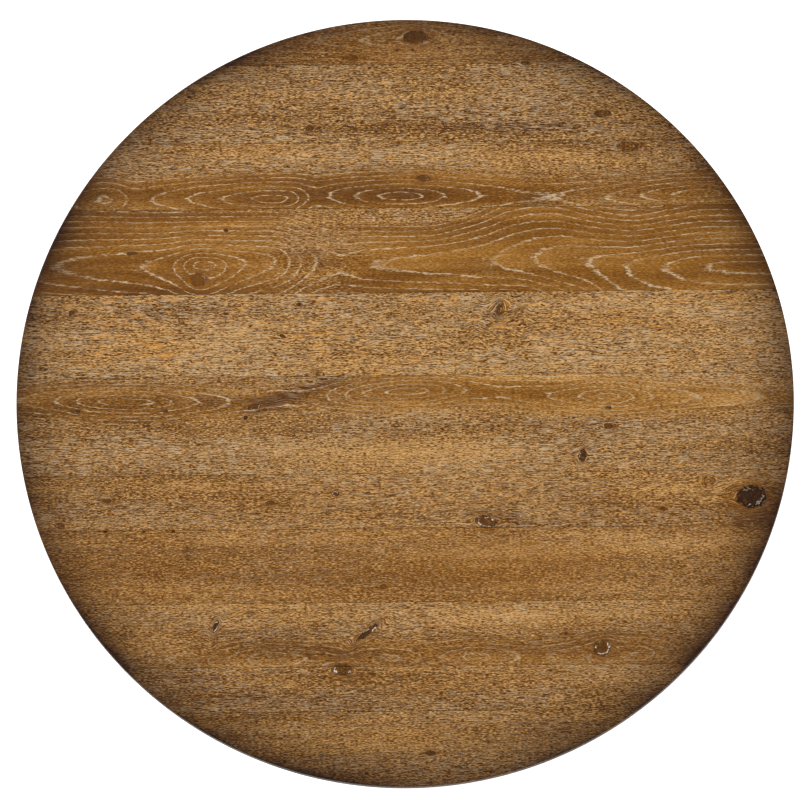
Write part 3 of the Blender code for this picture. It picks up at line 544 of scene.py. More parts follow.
def solid_figure(along, across, depth, seed):
    """Attributes of a piece cut from solid oak: its rings are circles round a pith outside the piece."""
    wander = 0.003 * lattice_noise(along * 4.0 + seed, across * 12.0, 51)
    wander += 0.001 * lattice_noise(along * 15.0 + seed, depth * 50.0, 52)
    lean = 0.04 * along
    figure = {name: np.full(along.shape, value) for name, value in SOLID_VALUES.items()}
    figure["ring"] = np.hypot(across - SOLID_PITH[0] + wander + lean, depth - SOLID_PITH[1]) / SOLID_SPACING
    drift = lattice_noise(along * 5.0 + seed * 3, across * 18.0 + depth * 9.0, 53)
    figure["tone"] = SOLID_TONE + 0.10 * drift
    figure["grain"] = np.stack([along + seed * 2.9, across + wander, depth + seed * 1.1], -1)
    return figure


# ---------------------------------------------------------------- meshes from arrays


def grid_quads(rows, columns, wrap=False):
    """Vertex numbers of the quads of a grid stored row by row. wrap joins the last column to the first."""
    row, column = np.meshgrid(
        np.arange(rows - 1), np.arange(columns if wrap else columns - 1), indexing="ij"
    )
    after = (column + 1) % columns
    corners = (row * columns + column, row * columns + after)
    above = ((row + 1) * columns + after, (row + 1) * columns + column)
    return np.stack([*corners, *above], -1).reshape(-1, 4)


def build_mesh(name, points, quads, rounds=()):
    """A mesh from an array of points, an array of quads and a list of many-sided faces."""
    mesh = bpy.data.meshes.new(name)
    mesh.vertices.add(len(points))
    mesh.vertices.foreach_set("co", np.asarray(points, np.float32).ravel())
    loops = np.concatenate([quads.ravel(), *[np.asarray(r) for r in rounds]]).astype(np.int32)
    totals = np.array([4] * len(quads) + [len(r) for r in rounds], np.int32)
    mesh.loops.add(len(loops))
    mesh.loops.foreach_set("vertex_index", loops)
    mesh.polygons.add(len(totals))
    starts = np.concatenate([[0], np.cumsum(totals)[:-1]])
    mesh.polygons.foreach_set("loop_start", starts.astype(np.int32))
    mesh.polygons.foreach_set("loop_total", totals)
    mesh.update(calc_edges=True)
    mesh.validate()
    mesh.shade_smooth()
    mesh.set_sharp_from_angle(angle=math.radians(SHARP_ANGLE))
    return mesh


def add_attributes(mesh, values):
    """Stores arrays of numbers or vectors, one for each point, for the materials to read."""
    for name, value in values.items():
        kind = "FLOAT_VECTOR" if value.ndim > 1 and value.shape[-1] == 3 else "FLOAT"
        attribute = mesh.attributes.new(name, kind, "POINT")
        key = "vector" if kind == "FLOAT_VECTOR" else "value"
        attribute.data.foreach_set(key, np.asarray(value, np.float32).ravel())


def add_piece(name, mesh, body, nodes, material):
    """Adds a piece that rides on a body and stands in for CAD nodes."""
    obj = bpy.data.objects.new(name, mesh)
    bpy.context.scene.collection.objects.link(obj)
    mesh.materials.append(material)
    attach(obj, body)
    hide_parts(*nodes)


# ---------------------------------------------------------------- the top


def rim_levels():
    """(radius, height) of each level down the rim: a quarter-round ease, the band, the bevel."""
    ease = [
        (
            TOP_RADIUS - EDGE_EASE * (1 - math.cos(math.pi / 2 * (1 - step / EASE_STEPS))),
            TABLE_HEIGHT - EDGE_EASE * (1 - math.sin(math.pi / 2 * (1 - step / EASE_STEPS))),
        )
        for step in range(EASE_STEPS + 1)
    ]
    band = TOP_UNDERSIDE + UNDER_BEVEL_HEIGHT
    lower = [
        (TOP_RADIUS, TABLE_HEIGHT - BAND_ROW_DEPTH),
        (TOP_RADIUS, band),
        (TOP_RADIUS - UNDER_BEVEL_EASE, band - UNDER_BEVEL_EASE),
        (TOP_RADIUS - UNDER_BEVEL_REACH, TOP_UNDERSIDE),
    ]
    return ease + lower


def board_rows(low, high, radius, count, ends):
    """The y of each row of a board between its seams.

    A board that ends at the rim is spaced evenly by angle, y = r sin(a), so that its rows close in on
    the rim's end point. The others are spaced evenly.
    """
    if ends == "inner":
        return np.linspace(low, high, count)
    inner = low if ends == "rear" else -high
    angles = np.linspace(math.asin(inner / radius), math.pi / 2, count)
    rows = radius * np.sin(angles)
    return rows if ends == "rear" else -rows[::-1]


def make_board(index, material):
    """One board: a grid x = s sqrt(r^2 - y^2) over its face, then its edge carried down the levels."""
    node = f"top_board_{index + 1:02d}"
    low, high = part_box(node)
    ends = "rear" if index == 0 else "front" if index == BOARD_COUNT - 1 else "inner"
    count = max(24, int((high.y - low.y) / ROW_STEP))
    spread = np.linspace(-1, 1, ALONG_COUNT)
    levels = rim_levels()

    def level_grid(radius):
        rows = board_rows(low.y, high.y, radius, count, ends)
        half = np.sqrt(np.maximum(radius**2 - rows**2, 0))
        return half[:, None] * spread[None, :], np.repeat(rows[:, None], ALONG_COUNT, 1)

    x, y = level_grid(levels[0][0])
    figure = board_figure(index, x, y, np.full(x.shape, TABLE_HEIGHT))
    z = TABLE_HEIGHT - relief_of(figure, x, y, low.y, high.y, ends)
    top = np.stack([x, y, z], -1).reshape(-1, 3)
    edge = np.concatenate(
        [
            np.arange(ALONG_COUNT),
            np.arange(1, count) * ALONG_COUNT + ALONG_COUNT - 1,
            (count - 1) * ALONG_COUNT + np.arange(ALONG_COUNT - 2, -1, -1),
            np.arange(count - 2, 0, -1) * ALONG_COUNT,
        ]
    )
    rings = []
    for radius, height in levels[1:]:
        flat_x, flat_y = level_grid(radius)
        ring = np.stack([flat_x.ravel()[edge], flat_y.ravel()[edge], np.full(len(edge), height)], -1)
        rings.append(ring)
    wall = np.concatenate([edge, len(top) + np.arange(len(edge) * len(rings))])
    quads = grid_quads(len(rings) + 1, len(edge), wrap=True)
    quads = np.concatenate([grid_quads(count, ALONG_COUNT), wall[quads][:, ::-1]])
    points = np.concatenate([top, *rings])
    bottom = (len(points) - len(edge) + np.arange(len(edge)))[::-1]
    mesh = build_mesh(node + "_oak", points, quads, [bottom])
    add_attributes(mesh, board_figure(index, points[:, 0], points[:, 1], points[:, 2]))
    if ends != "inner":
        close_poles(mesh)
    add_piece(node + "_oak", mesh, TABLE_BODY, [node], material)


def close_poles(mesh):
    """Merges the points that share a place, where a board's rows shrink to one point on the rim."""
    shape = bmesh.new()
    shape.from_mesh(mesh)
    bmesh.ops.remove_doubles(shape, verts=shape.verts, dist=POLE_MERGE)
    bmesh.ops.dissolve_degenerate(shape, edges=shape.edges, dist=POLE_MERGE / 2)
    shape.to_mesh(mesh)
    shape.free()


def relief_of(figure, x, y, low, high, ends):
    """Depth below the table's height: eased seams, brushed-out rings, sunk knots and a hand-worked wave."""
    depth = KNOT_SINK * figure["darkness"] * fade(figure["near"], 0.62, 0.78)
    line = np.abs(np.mod(figure["ring"], 1.0) - 0.5) * 2
    depth += RING_SINK * fade(line, 0.78, 0.95) * figure["flat"]
    depth += GRAIN_RELIEF * (1 + lattice_noise(x * 60, figure["grain"][..., 1] * 400, 61))
    depth += HAND_WAVE * (1 + lattice_noise(x * 3, y * 11, 62))
    seam = np.full(x.shape, 1.0)
    if ends != "rear":
        seam = np.minimum(seam, high - y)
    if ends != "front":
        seam = np.minimum(seam, y - low)
    return depth + SEAM_EASE * (1 - fade(seam, 0.0, SEAM_REACH))


# ---------------------------------------------------------------- the pedestal


def cosine_run(start, end, share):
    """Radii that go from start to end as a half wave of a cosine."""
    return start + (end - start) * (1 - np.cos(math.pi * share)) / 2


def bead_run(radius, share):
    """Radii of a bead, a half wave of a sine standing on a small seat."""
    return radius + COLUMN_BEAD_SEAT + COLUMN_BEAD_BULGE * np.sin(math.pi * share)


def column_outline():
    """Radii and heights down the column: band, bell, bead, swell, bead, hollow, band."""
    low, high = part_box("column")
    top, bottom = high.z - COLUMN_SPIGOT, low.z + COLUMN_SPIGOT
    fixed = COLUMN_HEAD_BAND + COLUMN_BELL + 2 * COLUMN_BEAD + COLUMN_HOLLOW + COLUMN_FOOT_BAND
    swell = top - bottom - fixed - 6 * COLUMN_FILLET
    bell_rise = COLUMN_HEAD_RADIUS - COLUMN_FILLET - COLUMN_NECK_RADIUS
    hollow_rise = COLUMN_FOOT_RADIUS - COLUMN_FILLET - COLUMN_WAIST_RADIUS
    band, bell, bead, rise, fall, hollow = (np.linspace(0, 1, n + 1) for n in (8, 30, 18, 70, 40, 14))
    fall = fall[1:]
    bell_radii = COLUMN_NECK_RADIUS + bell_rise * (1 - bell) ** COLUMN_BELL_POWER
    runs = (
        (COLUMN_HEAD_BAND, band, COLUMN_HEAD_RADIUS + 0 * band),
        (COLUMN_BELL, bell, bell_radii),
        (COLUMN_BEAD, bead, bead_run(COLUMN_NECK_RADIUS, bead)),
        (swell * (1 - COLUMN_SWELL_PLACE), rise, cosine_run(COLUMN_NECK_RADIUS, COLUMN_SWELL_RADIUS, rise)),
        (swell * COLUMN_SWELL_PLACE, fall, cosine_run(COLUMN_SWELL_RADIUS, COLUMN_WAIST_RADIUS, fall)),
        (COLUMN_BEAD, bead, bead_run(COLUMN_WAIST_RADIUS, bead)),
        (COLUMN_HOLLOW, hollow, COLUMN_WAIST_RADIUS + hollow_rise * hollow**2),
        (COLUMN_FOOT_BAND, band, COLUMN_FOOT_RADIUS + 0 * band),
    )
    heights, height = [], top
    for length, share, _ in runs:
        heights.append(height - length * share)
        height -= length
        if share is not rise:
            height -= COLUMN_FILLET
    return np.concatenate([radii for _, _, radii in runs]), np.concatenate(heights)


def lathe(radii, heights, count):
    """Points of a turned surface, (r cos a, r sin a, z), one row for each profile point."""
    angle = np.linspace(0, 2 * math.pi, count, endpoint=False)
    x = radii[:, None] * np.cos(angle)
    y = radii[:, None] * np.sin(angle)
    return x, y, np.repeat(heights[:, None], count, 1)


def make_turned(node, radii, heights, material, seed, along="z"):
    """A turned piece, closed by a round face at each end, its grain along one axis."""
    name = node + "_oak"
    x, y, z = lathe(radii, heights, TURN_COUNT)
    points = np.stack([x, y, z], -1).reshape(-1, 3)
    quads = grid_quads(len(radii), TURN_COUNT, wrap=True)[:, ::-1]
    first, last = np.arange(TURN_COUNT), (len(radii) - 1) * TURN_COUNT + np.arange(TURN_COUNT)
    mesh = build_mesh(name, points, quads, [first, last[::-1]])
    px, py, pz = points.T
    axes = (pz, px, py) if along == "z" else (px, py, pz)
    figure = solid_figure(*axes, seed)
    # painted shade in the hollows of the turning, carried in the same attribute as the rubbed finish
    figure["burnish_and_shade"] = recess_shade(radii)[:, None].repeat(TURN_COUNT, 1).ravel()
    add_attributes(mesh, figure)
    add_piece(name, mesh, TABLE_BODY, [node], material)


def recess_shade(radii):
    """Painted shade where the profile is hollow: how far a blurred radius stands over the radius."""
    wide = np.convolve(np.pad(radii, 5, mode="edge"), np.ones(11) / 11, mode="valid")
    return np.clip((wide - radii) / 0.004, -0.25, 1.0) * 0.55 + 0.06


def make_cap(material):
    """The turned cap, its lower edge a quarter round."""
    low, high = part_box("column_cap")
    radius = high.x
    turn = np.linspace(0, math.pi / 2, 12)
    corner = np.linspace(0, math.pi / 2, 5)
    radii = np.concatenate(
        [radius - CAP_TOP_EASE * (1 - np.sin(corner)), radius - CAP_EDGE_RADIUS * (1 - np.cos(turn))]
    )
    heights = np.concatenate(
        [high.z - CAP_TOP_EASE * (1 - np.cos(corner)), low.z + CAP_EDGE_RADIUS * (1 - np.sin(turn))]
    )
    make_turned("column_cap", radii, heights, material, 3, along="x")


def foot_lines(share):
    """Radius, lower and upper height of a foot's side view at arrays of shares from root to tip.

    The lower line is level, then falls in a cosine. The upper one falls in a longer cosine. Both close
    on the toe in a half circle.
    """
    low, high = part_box("foot_front_right")
    nose = TOE_HEIGHT / 2
    nose_middle = FOOT_REACH - nose
    root_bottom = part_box("hub")[0].z
    straight = np.minimum(share / TOE_SHARE, 1.0)
    radius = FOOT_ROOT + (nose_middle - FOOT_ROOT) * straight
    turn = np.clip((share - TOE_SHARE) / (1 - TOE_SHARE), 0, 1) * math.pi / 2
    radius = radius + nose * np.sin(turn)
    fall = np.clip((radius - FOOT_PLATE_FLAT) / (FOOT_REACH - TOE_FLAT - FOOT_PLATE_FLAT), 0, 1)
    lower = root_bottom + (low.z - root_bottom) * (1 - np.cos(math.pi * fall)) / 2
    climb = np.clip((nose_middle - radius) / (nose_middle - FOOT_ROOT), 0, 1)
    toe_top = low.z + TOE_HEIGHT
    upper = toe_top + (high.z - toe_top) * (1 - np.cos(math.pi * climb)) / 2
    closing = nose * (1 - np.cos(turn))
    return radius, lower + closing, upper - closing


def make_foot(corner, degrees, material, seed):
    """A foot: at each station a rounded rectangle, its corner arcs joined by the flats."""
    before, nose = FOOT_STATIONS
    share = np.concatenate([np.linspace(0, TOE_SHARE, before), np.linspace(TOE_SHARE, 1, nose)[1:]])
    radius, lower, upper = foot_lines(share)
    half_width = FOOT_WIDTH / 2
    arc = np.linspace(0, math.pi / 2, FOOT_ARC_COUNT)
    flat = np.linspace(-1, 1, FOOT_FLAT_COUNT)[1:-1]
    middle, half = (lower + upper) / 2, np.maximum((upper - lower) / 2, 1e-5)
    corner_radius = np.minimum(FOOT_CORNER, half * 0.9)
    ys, zs = [], []
    for turn, (side, up) in enumerate(((1, 1), (-1, 1), (-1, -1), (1, -1))):
        angle = arc + turn * math.pi / 2
        ys.append(side * (half_width - corner_radius)[:, None] + corner_radius[:, None] * np.cos(angle))
        zs.append(up * (half - corner_radius)[:, None] + corner_radius[:, None] * np.sin(angle))
        reach_y, reach_z = (half_width - corner_radius)[:, None], (half - corner_radius)[:, None]
        if turn % 2 == 0:
            ys.append(-side * reach_y * flat)
            zs.append(up * half[:, None] + 0 * flat)
        else:
            ys.append(side * half_width + 0 * flat * reach_z)
            zs.append(-up * reach_z * flat)
    y = np.concatenate(ys, 1)
    z = middle[:, None] + np.concatenate(zs, 1)
    x = np.repeat(radius[:, None], y.shape[1], 1)
    count = y.shape[1]
    turn = math.radians(degrees)
    world = np.stack(
        [x * math.cos(turn) - y * math.sin(turn), x * math.sin(turn) + y * math.cos(turn), z], -1
    ).reshape(-1, 3)
    quads = grid_quads(len(share), count, wrap=True)
    ends = [np.arange(count)[::-1], (len(share) - 1) * count + np.arange(count)]
    name = f"foot_{corner}_oak"
    mesh = build_mesh(name, world, quads, ends)
    figure = solid_figure(x.ravel(), y.ravel(), z.ravel(), seed)
    edge = np.minimum(half_width - np.abs(y), np.minimum(upper[:, None] - z, z - lower[:, None]))
    toe = fade(x, FOOT_REACH - 0.10, FOOT_REACH)
    figure["burnish_and_shade"] = (0.10 + 0.45 * toe - 0.25 * (1 - fade(edge, 0.0, 0.003)) * (1 - toe)).ravel()
    add_attributes(mesh, figure)
    add_piece(name, mesh, TABLE_BODY, [f"foot_{corner}"], material)


# ---------------------------------------------------------------- materials


def group_socket(group, name, kind, output=False, default=None):
    """Adds a named input or output to a node group."""
    socket = group.interface.new_socket(
        name=name, in_out="OUTPUT" if output else "INPUT", socket_type=kind
    )
    if default is not None:
        socket.default_value = default


class Graph:
    """Short ways to add and join a node tree's nodes."""

    def __init__(self, tree):
        self.tree = tree

    def put(self, socket, value):
        """Links a socket to another node's output, or sets its value."""
        if isinstance(value, bpy.types.NodeSocket):
            self.tree.links.new(value, socket)
        elif value is not None:
            socket.default_value = value

    def math(self, operation, a, b=None, c=None, clamp=False):
        node = self.tree.nodes.new("ShaderNodeMath")
        node.operation = operation
        node.use_clamp = clamp
        for socket, value in zip(node.inputs, (a, b, c)):
            self.put(socket, value)
        return node.outputs[0]

    def times(self, a, b, clamp=False):
        return self.math("MULTIPLY", a, b, clamp=clamp)

    def line(self, value, slope, start, clamp=False):
        """value * slope + start."""
        return self.math("MULTIPLY_ADD", value, slope, start, clamp=clamp)

    def sway(self, value):
        """Moves a noise's middle, 0.5, to 0."""
        return self.math("SUBTRACT", value, 0.5)

    def apart(self, value, place):
        """How far value lies from place."""
        return self.math("ABSOLUTE", self.math("SUBTRACT", value, place))

    def step(self, value, low, high, to_low=0.0, to_high=1.0):
        """A smooth step of value from low to high."""
        node = self.tree.nodes.new("ShaderNodeMapRange")
        node.interpolation_type = "SMOOTHSTEP"
        for name, given in (
            ("Value", value), ("From Min", low), ("From Max", high), ("To Min", to_low), ("To Max", to_high)
        ):
            self.put(node.inputs[name], given)
        return node.outputs["Result"]

    def mix(self, share, a, b, blend="MIX"):
        """Colour a where share is 0 and colour b where it is 1."""
        node = self.tree.nodes.new("ShaderNodeMix")
        node.data_type = "RGBA"
        node.blend_type = blend
        self.put(node.inputs[0], share)
        for socket, colour in ((node.inputs[6], a), (node.inputs[7], b)):
            self.put(socket, (*colour, 1.0) if isinstance(colour, tuple) else colour)
        return node.outputs[2]

    def noise(self, vector, along, across, detail=2.0, rough=0.55, distortion=0.0, shift=(0, 0, 0)):
        """Noise whose cells are 1 / along metres along the grain and 1 / across metres across it."""
        mapping = self.tree.nodes.new("ShaderNodeMapping")
        self.put(mapping.inputs["Vector"], vector)
        mapping.inputs["Scale"].default_value = (along, across, across)
        mapping.inputs["Location"].default_value = shift
        node = self.tree.nodes.new("ShaderNodeTexNoise")
        self.put(node.inputs["Vector"], mapping.outputs[0])
        for name, value in (
            ("Scale", 1.0), ("Detail", detail), ("Roughness", rough), ("Distortion", distortion)
        ):
            node.inputs[name].default_value = value
        return node.outputs["Fac"]

    def ramp(self, value, stops):
        """A colour for each value, between stops of (place, colour)."""
        node = self.tree.nodes.new("ShaderNodeValToRGB")
        self.put(node.inputs[0], value)
        while len(node.color_ramp.elements) < len(stops):
            node.color_ramp.elements.new(0.5)
        for element, (place, colour) in zip(node.color_ramp.elements, stops):
            element.position = place
            element.color = (*colour, 1.0)
        return node.outputs[0]

    def attribute(self, name, output="Fac"):
        node = self.tree.nodes.new("ShaderNodeAttribute")
        node.attribute_name = name
        return node.outputs[output]

    def place(self):
        """Where a point lies on the piece, in metres."""
        return self.tree.nodes.new("ShaderNodeTexCoord").outputs["Object"]

    def bump(self, shader, height, distance, strength):
        node = self.tree.nodes.new("ShaderNodeBump")
        node.inputs["Distance"].default_value = distance
        node.inputs["Strength"].default_value = strength
        self.put(node.inputs["Height"], height)
        self.put(shader.inputs["Normal"], node.outputs[0])


# The grain's contrasts. A pair is what quartered wood adds and what flat-sawn wood has.
MIDDLE_SHADE = 0.478
BROAD_CONTRAST = 0.70
MIDDLE_CONTRAST = 0.30
FINE_CONTRAST = (1.75, 0.5)
HAIR_CONTRAST = (4.4, 1.3)
PORE_AMOUNT = (0.88, 0.10)
CHECK_AMOUNT = (0.62, 0.15)
LATE_WOOD_CONTRAST = 0.10
RING_WOBBLE = 0.45
RING_LINE = (0.79, 0.93)  # where a ring's line begins and is full, from 0 mid-ring to 1 at its border
OAK_BUMP = 0.0006


def oak_grain_group():
    """The brushed and limed grain of oak.

    Shade is the stain's lightness, Lime the white wax left in the pores, Check the dark open lines, Fleck
    the ray flecks, Height the brushed relief.
    """
    group = bpy.data.node_groups.new("oak_grain", "ShaderNodeTree")
    group_socket(group, "Grain", "NodeSocketVector")
    for name, default in (("Ring", 0.0), ("Flat", 0.5), ("Flecks", 0.0), ("Liming", 0.7)):
        group_socket(group, name, "NodeSocketFloat", default=default)
    for name in ("Shade", "Lime", "Check", "Fleck", "Height"):
        group_socket(group, name, "NodeSocketFloat", output=True)
    g = Graph(group)
    given = group.nodes.new("NodeGroupInput").outputs
    grain, flat = given["Grain"], given["Flat"]

    broad = g.noise(grain, 1.5, 30)
    middle = g.noise(grain, 8, 110, shift=(3, 1, 0))
    fine = g.noise(grain, 38, 600, detail=3, rough=0.75, shift=(0, 7, 2))
    hair = g.noise(grain, 160, 860, rough=0.6, shift=(9, 2, 5))
    patch = g.noise(grain, 3.5, 22, shift=(5, 5, 5))
    quartered = g.math("SUBTRACT", 1.0, flat)

    # a growth ring's pores make a line of uneven dashes
    wobble = g.times(g.sway(g.noise(grain, 60, 260)), RING_WOBBLE)
    phase = g.math("FRACT", g.math("ADD", given["Ring"], wobble))
    near = g.math("ABSOLUTE", g.line(phase, 2.0, -1.0))
    dashes = g.step(g.noise(grain, 110, 640, detail=1, shift=(4, 6, 1)), 0.42, 0.54, 0.10, 1.0)
    uneven = g.step(g.noise(grain, 14, 40, detail=1, shift=(1, 9, 2)), 0.38, 0.60, 0.60, 1.30)
    ring_line = g.times(g.step(near, *RING_LINE), g.step(flat, 0.1, 0.7))
    ring_line = g.times(ring_line, g.times(dashes, uneven))

    # the other pores are short strokes, most of them where the board is quartered
    spots = g.noise(grain, 38, 680, rough=0.6, shift=(2, 8, 4))
    strokes = g.times(g.step(spots, 0.53, 0.57), g.step(patch, 0.36, 0.60, 0.2, 1.0))
    pores = g.times(strokes, g.line(quartered, *PORE_AMOUNT))
    lime = g.times(g.math("MAXIMUM", ring_line, pores), given["Liming"], clamp=True)

    dark = g.noise(grain, 36, 700, rough=0.6, shift=(6, 3, 9))
    check = g.times(g.step(dark, 0.545, 0.585), g.line(quartered, *CHECK_AMOUNT))

    rays = g.noise(grain, 30, 110, detail=1, distortion=1.1, shift=(1, 4, 7))
    gather = g.step(g.noise(grain, 5, 14, detail=1, shift=(8, 0, 3)), 0.42, 0.60)
    fleck = g.times(g.times(g.step(rays, 0.58, 0.63), gather), given["Flecks"], clamp=True)

    shade = g.line(g.sway(broad), BROAD_CONTRAST, MIDDLE_SHADE)
    shade = g.line(g.sway(middle), MIDDLE_CONTRAST, shade)
    shade = g.line(g.sway(fine), g.line(quartered, *FINE_CONTRAST), shade)
    shade = g.line(g.sway(hair), g.line(quartered, *HAIR_CONTRAST), shade)
    shade = g.line(g.times(g.sway(phase), flat), LATE_WOOD_CONTRAST, shade)

    height = g.line(lime, -0.6, fine)
    height = g.line(check, -0.8, height)
    height = g.line(hair, 0.5, height)

    out = group.nodes.new("NodeGroupOutput").inputs
    for name, value in (
        ("Shade", shade), ("Lime", lime), ("Check", check), ("Fleck", fleck), ("Height", height)
    ):
        g.put(out[name], value)


# Stain colours, from dark to light
UMBER = (0.052, 0.014, 0.0005)
BROWN = (0.134, 0.047, 0.002)
HONEY = (0.264, 0.116, 0.016)
STRAW = (0.545, 0.308, 0.112)
AMBER = (0.550, 0.245, 0.046)
LIME_WAX = (0.490, 0.365, 0.225)
FILLER_WHITE = (0.620, 0.530, 0.410)
KNOT_BLACK = (0.018, 0.006, 0.001)
KNOT_CORE = (0.040, 0.015, 0.003)
WARM_TINT = (0.30, 0.115, 0.012)
# darkening for the rubbed finish, and for painted shade in the turnings' hollows
RUBBED_AND_SHADE_TINT = (0.10, 0.065, 0.050)
STAIN_STOPS = ((0.05, UMBER), (0.36, BROWN), (0.60, HONEY), (0.95, STRAW))


def oak_colour_group():
    """The stain's colour from the grain's masks and what lies on it: knots, filler, hand-rubbed edges and
    painted shade in the hollows of the turned pieces.

    A knot has a warm dark body inside a soft halo, fine cracks and broken lines of white filler.
    """
    group = bpy.data.node_groups.new("oak_colour", "ShaderNodeTree")
    group_socket(group, "Place", "NodeSocketVector")
    names = ("Shade", "Lime", "Check", "Fleck", "Tone", "Warmth", "Near", "Darkness", "Filler", "Burnish_and_shade")
    for name in names:
        group_socket(group, name, "NodeSocketFloat", default=0.0)
    group_socket(group, "Color", "NodeSocketColor", output=True)
    group_socket(group, "Roughness", "NodeSocketFloat", output=True)
    g = Graph(group)
    given = group.nodes.new("NodeGroupInput").outputs
    place, dark = given["Place"], given["Darkness"]

    # far is the distance from a knot's middle, about 1 at its edge
    ragged = g.sway(g.noise(place, 230, 230, detail=3, rough=0.6))
    far = g.line(ragged, 0.9, g.line(given["Near"], -3.0, 3.0))
    body = g.step(far, 1.15, 0.75)
    halo = g.step(far, 2.7, 0.8)
    gaps = g.noise(place, 150, 150, detail=1, shift=(3, 3, 3))
    rim = g.times(g.step(g.apart(far, 0.95), 0.22, 0.08), g.step(gaps, 0.40, 0.50))
    veins = g.apart(g.noise(place, 170, 170, distortion=0.8), 0.5)
    crack = g.math("MAXIMUM", rim, g.times(g.step(veins, 0.040, 0.015), body))
    seat = g.math("SUBTRACT", g.line(given["Filler"], 0.12, 0.01), g.apart(far, 0.78))
    filled = g.times(g.step(seat, 0.0, 0.05), g.step(given["Filler"], 0.02, 0.3))
    filled = g.times(filled, g.step(g.noise(place, 85, 85, shift=(7, 7, 7)), 0.52, 0.60))
    dark_halo, dark_body = g.times(halo, dark), g.times(body, dark)
    core = g.times(dark_body, g.times(dark, g.step(gaps, 0.70, 0.54, 0.50, 1.0)))

    value = g.math("ADD", given["Shade"], given["Tone"])
    value = g.line(dark_body, -0.42, g.line(dark_halo, -0.28, value))
    colour = g.ramp(g.math("MAXIMUM", value, 0.0), STAIN_STOPS)
    warmth = g.math("MAXIMUM", g.line(given["Warmth"], 0.5, g.times(dark_halo, 0.35)), 0.0)
    for share, tint in (
        (warmth, WARM_TINT),
        (given["Fleck"], AMBER),
        (g.times(given["Check"], 0.75), UMBER),
        (g.times(given["Lime"], g.line(body, -0.8, 0.85), clamp=True), LIME_WAX),
        (core, KNOT_CORE),
        (g.times(crack, dark), KNOT_BLACK),
        (filled, FILLER_WHITE),
    ):
        colour = g.mix(share, colour, tint)
    # rubbed-dark finish at the rim and toes, and painted shade in the hollows of the column and cap
    colour = g.mix(given["Burnish_and_shade"], colour, g.mix(1.0, colour, RUBBED_AND_SHADE_TINT, "MULTIPLY"))
    out = group.nodes.new("NodeGroupOutput").inputs
    g.put(out["Color"], colour)
    rough = g.line(given["Lime"], 0.14, 0.56)
    g.put(out["Roughness"], g.line(given["Burnish_and_shade"], -0.14, rough, clamp=True))


def new_material(name, specular=0.10):
    """A material, with short ways to add its nodes, and its shader node."""
    material = bpy.data.materials.new(name)
    material.use_nodes = True
    shader = material.node_tree.nodes["Principled BSDF"]
    shader.inputs["Specular IOR Level"].default_value = specular
    return material, Graph(material.node_tree), shader


def finish_oak(g, shader, grain, masks):
    """Joins grain group, colour group, bump and shader. masks gives what isn't read from the grain."""
    made = g.tree.nodes.new("ShaderNodeGroup")
    made.node_tree = bpy.data.node_groups["oak_grain"]
    colour = g.tree.nodes.new("ShaderNodeGroup")
    colour.node_tree = bpy.data.node_groups["oak_colour"]
    g.put(made.inputs["Grain"], grain)
    for name in ("Ring", "Flat", "Flecks", "Liming"):
        g.put(made.inputs[name], masks[name])
    for name in ("Shade", "Lime", "Check", "Fleck"):
        g.put(colour.inputs[name], made.outputs[name])
    for name in ("Tone", "Warmth", "Near", "Darkness", "Filler", "Burnish_and_shade"):
        g.put(colour.inputs[name], masks.get(name, 0.0))
    g.put(colour.inputs["Place"], g.place())
    g.put(shader.inputs["Base Color"], colour.outputs["Color"])
    g.put(shader.inputs["Roughness"], colour.outputs["Roughness"])
    g.bump(shader, made.outputs["Height"], OAK_BUMP, 0.6)


def carried_oak(name):
    """Oak for the pieces whose meshes carry their own figure as attributes."""
    material, g, shader = new_material(name)
    names = ("Ring", "Flat", "Flecks", "Tone", "Warmth", "Near", "Darkness", "Filler", "Burnish_and_shade")
    masks = {name: g.attribute(name.lower()) for name in names}
    masks["Liming"] = g.attribute("lime")
    finish_oak(g, shader, g.attribute("grain", "Vector"), masks)
    return material


def straight_oak(name, degrees, tone):
    """Oak for a straight piece left as CAD made it, with its grain turned to run along it."""
    material, g, shader = new_material(name)
    turn = g.tree.nodes.new("ShaderNodeMapping")
    g.put(turn.inputs["Vector"], g.place())
    turn.inputs["Rotation"].default_value = (0, 0, math.radians(-degrees))
    grain = turn.outputs[0]
    apart = g.tree.nodes.new("ShaderNodeSeparateXYZ")
    g.put(apart.inputs[0], grain)
    ring = g.times(g.line(apart.outputs[0], 0.05, apart.outputs[1]), 150.0)
    masks = {
        "Ring": ring, "Flat": 0.5, "Flecks": 0.05, "Liming": 0.6, "Tone": tone, "Warmth": 0.06,
        "Burnish_and_shade": 0.12,
    }
    finish_oak(g, shader, grain, masks)
    return material


def zinc_steel():
    """Zinc-plated steel: faint crystalline patches and dull spots."""
    material, g, shader = new_material("zinc_plated_steel", 0.5)
    place = g.place()
    patches = g.noise(place, 400, 400, detail=3)
    dull = g.step(g.noise(place, 90, 90, detail=3, shift=(4, 4, 4)), 0.45, 0.70)
    colour = g.mix(patches, (0.42, 0.42, 0.40), (0.66, 0.66, 0.62))
    g.put(shader.inputs["Base Color"], g.mix(g.times(dull, 0.4), colour, (0.30, 0.28, 0.24)))
    shader.inputs["Metallic"].default_value = 1.0
    g.put(shader.inputs["Roughness"], g.line(dull, 0.25, 0.28))
    return material


def speckled(name, colour, light, rough, scale):
    """Powder coat or moulded nylon: an orange-peel surface with a slight change of shade."""
    material, g, shader = new_material(name, 0.45)
    place = g.place()
    peel = g.noise(place, scale, scale)
    scuff = g.step(g.noise(place, 60, 60, detail=4, rough=0.7), 0.55, 0.75)
    g.put(shader.inputs["Base Color"], g.mix(g.times(scuff, 0.5), colour, light))
    g.put(shader.inputs["Roughness"], g.line(peel, 0.18, rough))
    g.bump(shader, peel, 0.0002, 0.4)
    return material


# ---------------------------------------------------------------- stage


